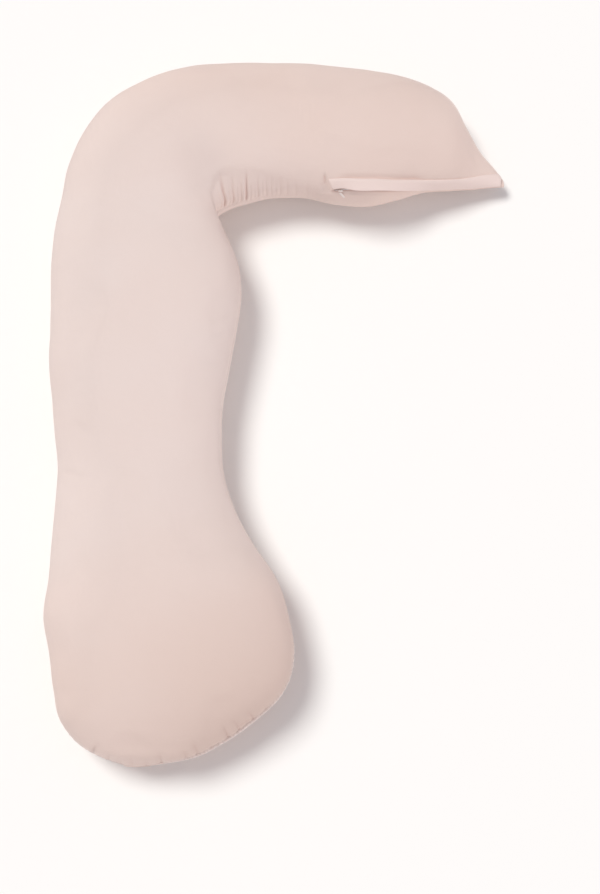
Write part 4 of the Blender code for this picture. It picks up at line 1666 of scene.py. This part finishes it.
@dataclass(frozen=True)
class JerseyFinish:
    """Pale pink cotton jersey: a fine knit, matt, with a faint bloom where it turns away. Its colour holds painted
    shade in creases, hollows, knit gaps and towards the foot, and a painted highlight below the foot's seam.
    """

    name: str = "pale pink jersey"
    colour: Colour = (0.800, 0.674, 0.624, 1.0)
    # painted light and shade: palest near the upper left of the long arm, deeper and warmer further away; a quarter of
    # the mix is a random tone drift
    shade_and_tone_colour: Colour = (0.775, 0.612, 0.545, 1.0)
    painted_light_place: tuple[float, float, float] = (-0.300, 0.080, 0.100)
    painted_light_reach: float = 0.280
    painted_shade_reach: float = 0.620
    # painted shade: the colour deepens towards the foot's lower end, most at this place
    foot_shade_colour: Colour = (0.675, 0.518, 0.450, 1.0)
    foot_shade_place: tuple[float, float, float] = (-0.030, -0.600, 0.100)
    foot_shade_reach: float = 0.360
    # painted shade colour for creases, seam puckers, seam lines, the zip's groove and the gaps between the knit's
    # loops
    shade_colour: Colour = (0.620, 0.400, 0.345, 1.0)
    roughness: float = 0.88
    sheen: float = 0.42
    sheen_roughness: float = 0.36
    column: float = 0.0011
    row: float = 0.0008
    knit_depth: float = 0.00011
    crumple_depth: float = 0.0006
    pucker_pitch: float = 0.0075
    pucker_reach: float = 0.020
    pucker_depth: float = 0.0016
    # painted highlight: a paler band just below the foot's puckered seam
    lip_highlight_colour: Colour = (0.900, 0.790, 0.745, 1.0)
    lip_highlight_share: float = 0.85
    lip_place: float = 0.0080
    lip_width: float = 0.0085
    # painted shade colour and share for the soft hollows
    hollow_shade_colour: Colour = (0.650, 0.540, 0.505, 1.0)
    hollow_shade: float = 0.40
    fold_shade: float = 0.38
    pucker_shade: float = 0.16
    seam_shade: float = 0.10

    def seam_lip_highlight(self, make: NodeMaker, beside: bpy.types.NodeSocket,
                 strength: bpy.types.NodeSocket) -> bpy.types.NodeSocket:
        """A painted highlight on the cloth just below a strongly puckered seam, as a share from 0 to 1.

        Args:
            make: The maker of the nodes.
            beside: The socket of the distances along the seam and from it.
            strength: The socket of how strongly the seam puckers.

        Returns:
            The share's socket.
        """
        split = make.add("ShaderNodeSeparateXYZ")
        make.link(beside, split.inputs[0])
        away = make.math("ABSOLUTE", make.math("ADD", split.outputs["Y"], self.lip_place))
        near = make.math("MAXIMUM", make.math("SUBTRACT", 1.0, make.math("DIVIDE", away, self.lip_width)), 0.0)
        return make.math("MULTIPLY", near, make.math("MULTIPLY", strength, strength))

    @staticmethod
    def share_from(make: NodeMaker, place: bpy.types.NodeSocket, middle: tuple[float, float, float], near: float,
                   far: float) -> bpy.types.NodeSocket:
        """A share that grows from 0 to 1 with the distance from a place on the cover.

        Args:
            make: The maker of the nodes.
            place: The socket of the surface's own place.
            middle: Where the distance is measured from.
            near: The distance up to which the share is 0.
            far: The distance from which it is 1.

        Returns:
            The share's socket.
        """
        away = make.add("ShaderNodeVectorMath", operation="DISTANCE")
        away.inputs[1].default_value = middle
        make.link(place, away.inputs[0])
        share = make.add("ShaderNodeMapRange", interpolation_type="SMOOTHSTEP")
        share.inputs["From Min"].default_value = near
        share.inputs["From Max"].default_value = far
        make.link(away.outputs["Value"], share.inputs["Value"])
        return share.outputs["Result"]

    def material(self) -> bpy.types.Material:
        """Builds the finish's material once, and returns it."""
        if self.name in bpy.data.materials:
            return bpy.data.materials[self.name]
        made = bpy.data.materials.new(self.name)
        made.use_nodes = True
        make = NodeMaker(made.node_tree)
        shader = made.node_tree.nodes["Principled BSDF"]
        shader.inputs["Roughness"].default_value = self.roughness
        shader.inputs["Specular IOR Level"].default_value = 0.25
        shader.inputs["Sheen Weight"].default_value = self.sheen
        shader.inputs["Sheen Roughness"].default_value = self.sheen_roughness
        shader.inputs["Sheen Tint"].default_value = (1.0, 0.93, 0.90, 1.0)
        flat = make.add("ShaderNodeUVMap", uv_map="flat_panels")
        solid = make.add("ShaderNodeTexCoord")
        knit = make.add("ShaderNodeGroup", node_tree=knit_group())
        knit.inputs["Column"].default_value = self.column
        knit.inputs["Row"].default_value = self.row
        make.link(flat.outputs["UV"], knit.inputs["Vector"])
        broad = make.add("ShaderNodeGroup", node_tree=drift_group())
        broad.inputs["Size"].default_value = 0.160
        make.link(solid.outputs["Object"], broad.inputs["Vector"])
        fine = make.add("ShaderNodeGroup", node_tree=drift_group())
        fine.inputs["Size"].default_value = 0.018
        make.link(solid.outputs["Object"], fine.inputs["Vector"])
        fold = make.add("ShaderNodeAttribute", attribute_name="fold")
        beside = make.add("ShaderNodeUVMap", uv_map="seam_map")
        strength = make.add("ShaderNodeAttribute", attribute_name="pucker")
        pucker = make.add("ShaderNodeGroup", node_tree=pucker_group())
        pucker.inputs["Pitch"].default_value = self.pucker_pitch
        pucker.inputs["Reach"].default_value = self.pucker_reach
        make.link(beside.outputs["UV"], pucker.inputs["Vector"])
        make.link(strength.outputs["Fac"], pucker.inputs["Strength"])
        # painted light and shade: pale near the upper left of the long arm, deeper and warmer away from it, with a
        # random tone drift mixed in
        away = self.share_from(make, solid.outputs["Object"], self.painted_light_place, self.painted_light_reach, self.painted_shade_reach)
        shade_and_tone = make.math("ADD", make.math("MULTIPLY", away, 0.75), make.math("MULTIPLY", broad.outputs["Drift"], 0.25))
        base = mixed(make, shade_and_tone, self.colour, self.shade_and_tone_colour)
        # painted shade, deepening the colour towards the foot's lower end
        beyond_foot_shade = self.share_from(make, solid.outputs["Object"], self.foot_shade_place, 0.0, self.foot_shade_reach)
        base = mixed(make, beyond_foot_shade, self.foot_shade_colour, base)
        # painted highlight: the band just below a strongly puckered seam is mixed towards a paler colour
        lip_highlight = make.math("MULTIPLY", self.seam_lip_highlight(make, beside.outputs["UV"], strength.outputs["Fac"]), self.lip_highlight_share)
        base = mixed(make, lip_highlight, base, self.lip_highlight_colour)
        # painted shade in the soft hollows, such as the one at the bend
        painted_hollow_shade = make.add("ShaderNodeAttribute", attribute_name="painted_hollow_shade")
        shaded = make.math("MULTIPLY", painted_hollow_shade.outputs["Fac"], self.hollow_shade)
        base = mixed(make, shaded, base, self.hollow_shade_colour)
        # painted shade in the gaps between the knit's loops, up to 9 percent of the shade colour
        knit_gap_shade = make.math("SUBTRACT", 0.09, make.math("MULTIPLY", knit.outputs["Height"], 0.09))
        with_knit_shade = mixed(make, knit_gap_shade, base, self.shade_colour)
        # painted shade: the fold attribute, the seam's puckers and the seam's line mix the colour towards the shade
        # colour, darkest in creases
        shade_share = make.math("ADD", make.math("MULTIPLY", fold.outputs["Fac"], self.fold_shade),
                         make.math("MULTIPLY", pucker.outputs["Crease"], self.pucker_shade))
        shade_share = make.math("ADD", shade_share, make.math("MULTIPLY", pucker.outputs["Line"], self.seam_shade))
        make.link(mixed(make, make.math("MINIMUM", shade_share, 1.0), with_knit_shade, self.shade_colour),
                  shader.inputs["Base Color"])
        seams = make.add("ShaderNodeBump", invert=True)
        seams.inputs["Strength"].default_value = 0.8
        seams.inputs["Distance"].default_value = self.pucker_depth
        make.link(make.math("ADD", pucker.outputs["Crease"], make.math("MULTIPLY", pucker.outputs["Line"], 0.35)),
                  seams.inputs["Height"])
        crumple = make.add("ShaderNodeBump")
        crumple.inputs["Strength"].default_value = 0.35
        crumple.inputs["Distance"].default_value = self.crumple_depth
        make.link(fine.outputs["Drift"], crumple.inputs["Height"])
        make.link(seams.outputs["Normal"], crumple.inputs["Normal"])
        loops = make.add("ShaderNodeBump")
        loops.inputs["Strength"].default_value = 0.7
        loops.inputs["Distance"].default_value = self.knit_depth
        make.link(knit.outputs["Height"], loops.inputs["Height"])
        make.link(crumple.outputs["Normal"], loops.inputs["Normal"])
        make.link(loops.outputs["Normal"], shader.inputs["Normal"])
        return made


@dataclass(frozen=True)
class EnamelFinish:
    """A small zip part's finish: dyed nylon or enamelled metal, with faint handling marks."""

    name: str
    colour: Colour
    worn_colour: Colour
    roughness: float
    metallic: float = 0.0
    mark_size: float = 0.0015

    def material(self) -> bpy.types.Material:
        """Builds the finish's material once, and returns it."""
        if self.name in bpy.data.materials:
            return bpy.data.materials[self.name]
        made = bpy.data.materials.new(self.name)
        made.use_nodes = True
        make = NodeMaker(made.node_tree)
        shader = made.node_tree.nodes["Principled BSDF"]
        shader.inputs["Metallic"].default_value = self.metallic
        solid = make.add("ShaderNodeTexCoord")
        marks = make.add("ShaderNodeGroup", node_tree=drift_group())
        marks.inputs["Size"].default_value = self.mark_size
        make.link(solid.outputs["Object"], marks.inputs["Vector"])
        make.link(mixed(make, marks.outputs["Drift"], self.colour, self.worn_colour), shader.inputs["Base Color"])
        rough = make.math("MULTIPLY_ADD", marks.outputs["Drift"], 0.12)
        rough.node.inputs[2].default_value = self.roughness
        make.link(rough, shader.inputs["Roughness"])
        return made


@dataclass(frozen=True)
class ThreadFinish:
    """Polyester sewing thread in the cloth's colour, a little lighter, with its twist."""

    name: str = "pale sewing thread"
    colour: Colour = (0.840, 0.715, 0.665, 1.0)
    dark_colour: Colour = (0.700, 0.540, 0.480, 1.0)
    roughness: float = 0.55
    twist: float = 0.0009

    def material(self) -> bpy.types.Material:
        """Builds the finish's material once, and returns it."""
        if self.name in bpy.data.materials:
            return bpy.data.materials[self.name]
        made = bpy.data.materials.new(self.name)
        made.use_nodes = True
        make = NodeMaker(made.node_tree)
        shader = made.node_tree.nodes["Principled BSDF"]
        shader.inputs["Roughness"].default_value = self.roughness
        solid = make.add("ShaderNodeTexCoord")
        turn = make.add("ShaderNodeMapping")
        turn.inputs["Rotation"].default_value = (0.0, 0.0, math.radians(40))
        make.link(solid.outputs["Object"], turn.inputs["Vector"])
        strands = make.add("ShaderNodeTexWave", wave_type="BANDS")
        strands.inputs["Scale"].default_value = 0.31 / self.twist
        make.link(turn.outputs["Vector"], strands.inputs["Vector"])
        make.link(mixed(make, strands.outputs["Fac"], self.dark_colour, self.colour), shader.inputs["Base Color"])
        return made


@dataclass(frozen=True)
class Studio:
    """A pale floor, a broad soft lamp from the upper left and an even room light."""

    target: tuple[float, float, float] = (0.0367, -0.0820, 0.09)
    distance: float = 3.0
    elevation: float = math.radians(80)
    lens: float = 67.0
    lamp_tilt: float = math.radians(29)
    lamp_heading: float = math.radians(141)
    lamp_strength: float = 2.06
    lamp_angle: float = math.radians(22)
    lamp_colour: tuple[float, float, float] = (0.98, 1.0, 0.975)
    fill_tilt: float = math.radians(80)
    fill_heading: float = math.radians(-42)
    fill_strength: float = 1.08
    fill_colour: tuple[float, float, float] = (1.0, 0.98, 0.98)
    room_strength: float = 0.445
    room_colour: Colour = (1.0, 0.985, 1.06, 1.0)
    floor_colour: Colour = (0.935, 0.907, 0.878, 1.0)
    floor_size: float = 9.0

    def build(self) -> None:
        """Sets up the floor, the lights and the camera."""
        self.build_floor()
        self.build_lights()
        self.build_camera()
        bpy.context.scene.view_settings.view_transform = "Standard"

    def build_floor(self) -> None:
        """A plain floor, level with the pillow's underside."""
        shape = bmesh.new()
        bmesh.ops.create_grid(shape, x_segments=1, y_segments=1, size=self.floor_size / 2)
        mesh = bpy.data.meshes.new("studio_floor")
        shape.to_mesh(mesh)
        shape.free()
        material = bpy.data.materials.new("pale floor")
        material.use_nodes = True
        shader = material.node_tree.nodes["Principled BSDF"]
        shader.inputs["Base Color"].default_value = self.floor_colour
        shader.inputs["Roughness"].default_value = 1.0
        shader.inputs["Specular IOR Level"].default_value = 0.0
        mesh.materials.append(material)
        new_object("studio_floor", mesh)

    def build_lights(self) -> None:
        """The soft lamp, a faint fill from the other side that casts no shadow, and the room's light."""
        lamp = self.add_lamp("soft lamp", self.lamp_tilt, self.lamp_heading, self.lamp_strength)
        lamp.angle = self.lamp_angle
        lamp.color = self.lamp_colour
        fill = self.add_lamp("fill lamp", self.fill_tilt, self.fill_heading, self.fill_strength)
        fill.color = self.fill_colour
        fill.use_shadow = False
        world = bpy.data.worlds.new("room light")
        world.use_nodes = True
        background = world.node_tree.nodes["Background"]
        background.inputs["Color"].default_value = self.room_colour
        background.inputs["Strength"].default_value = self.room_strength
        bpy.context.scene.world = world

    def add_lamp(self, name: str, tilt: float, heading: float, strength: float) -> bpy.types.Light:
        """Adds a distant lamp.

        Args:
            name: Its name.
            tilt: Its angle from straight above.
            heading: Its direction round the pillow, from +X towards +Y.
            strength: Its strength.

        Returns:
            The lamp.
        """
        lamp = bpy.data.lights.new(name, "SUN")
        lamp.energy = strength
        holder = bpy.data.objects.new(name, lamp)
        towards = Matrix.Rotation(heading, 3, "Z") @ Vector((math.sin(tilt), 0.0, math.cos(tilt)))
        holder.rotation_euler = towards.to_track_quat("Z", "Y").to_euler()
        holder.location = towards * self.distance
        bpy.context.scene.collection.objects.link(holder)
        return lamp

    def build_camera(self) -> None:
        """The camera at the photograph's angle, a little off straight above."""
        camera = bpy.data.cameras.new("camera")
        camera.lens = self.lens
        holder = bpy.data.objects.new("camera", camera)
        back = Vector((0.0, -math.cos(self.elevation), math.sin(self.elevation)))
        right = Vector((1.0, 0.0, 0.0))
        axes = Matrix((right, back.cross(right), back)).transposed().to_4x4()
        holder.matrix_world = Matrix.Translation(Vector(self.target) + back * self.distance) @ axes
        bpy.context.scene.collection.objects.link(holder)
        bpy.context.scene.camera = holder


def main() -> None:
    """Builds the pillow piece by piece, then the studio, and reports each piece."""
    logging.basicConfig(level=logging.INFO, format="%(name)s: %(message)s", stream=sys.stdout)
    jersey = JerseyFinish()
    # painted light: a paler copy of the jersey for the flap, which keeps the same colour over its whole length
    lit_flap_copy = JerseyFinish("pale pink jersey, doubled", (0.835, 0.682, 0.630, 1.0), (0.835, 0.682, 0.630, 1.0))
    coil = EnamelFinish("dyed zip coil", (0.300, 0.170, 0.135, 1.0), (0.420, 0.265, 0.215, 1.0), 0.45)
    enamel = EnamelFinish("pale enamel", (0.800, 0.690, 0.640, 1.0), (0.870, 0.790, 0.750, 1.0), 0.30)
    cover = PillowCover(PillowShape())
    report(cover.build(ClothSettings(), jersey))
    flap = ZipFlap(cover)
    report(flap.build(lit_flap_copy))
    report(FlapStitching(flap).build(ThreadFinish()))
    report(ZipChain(cover).build(coil))
    for piece in ZipSlider(cover).build(enamel):
        report(piece)
    Studio().build()


def report(piece: bpy.types.Object) -> None:
    """Logs a finished piece with its number of faces."""
    log.info("%s: %d faces", piece.name, len(piece.data.polygons))


if __name__ == "__main__":
    main()
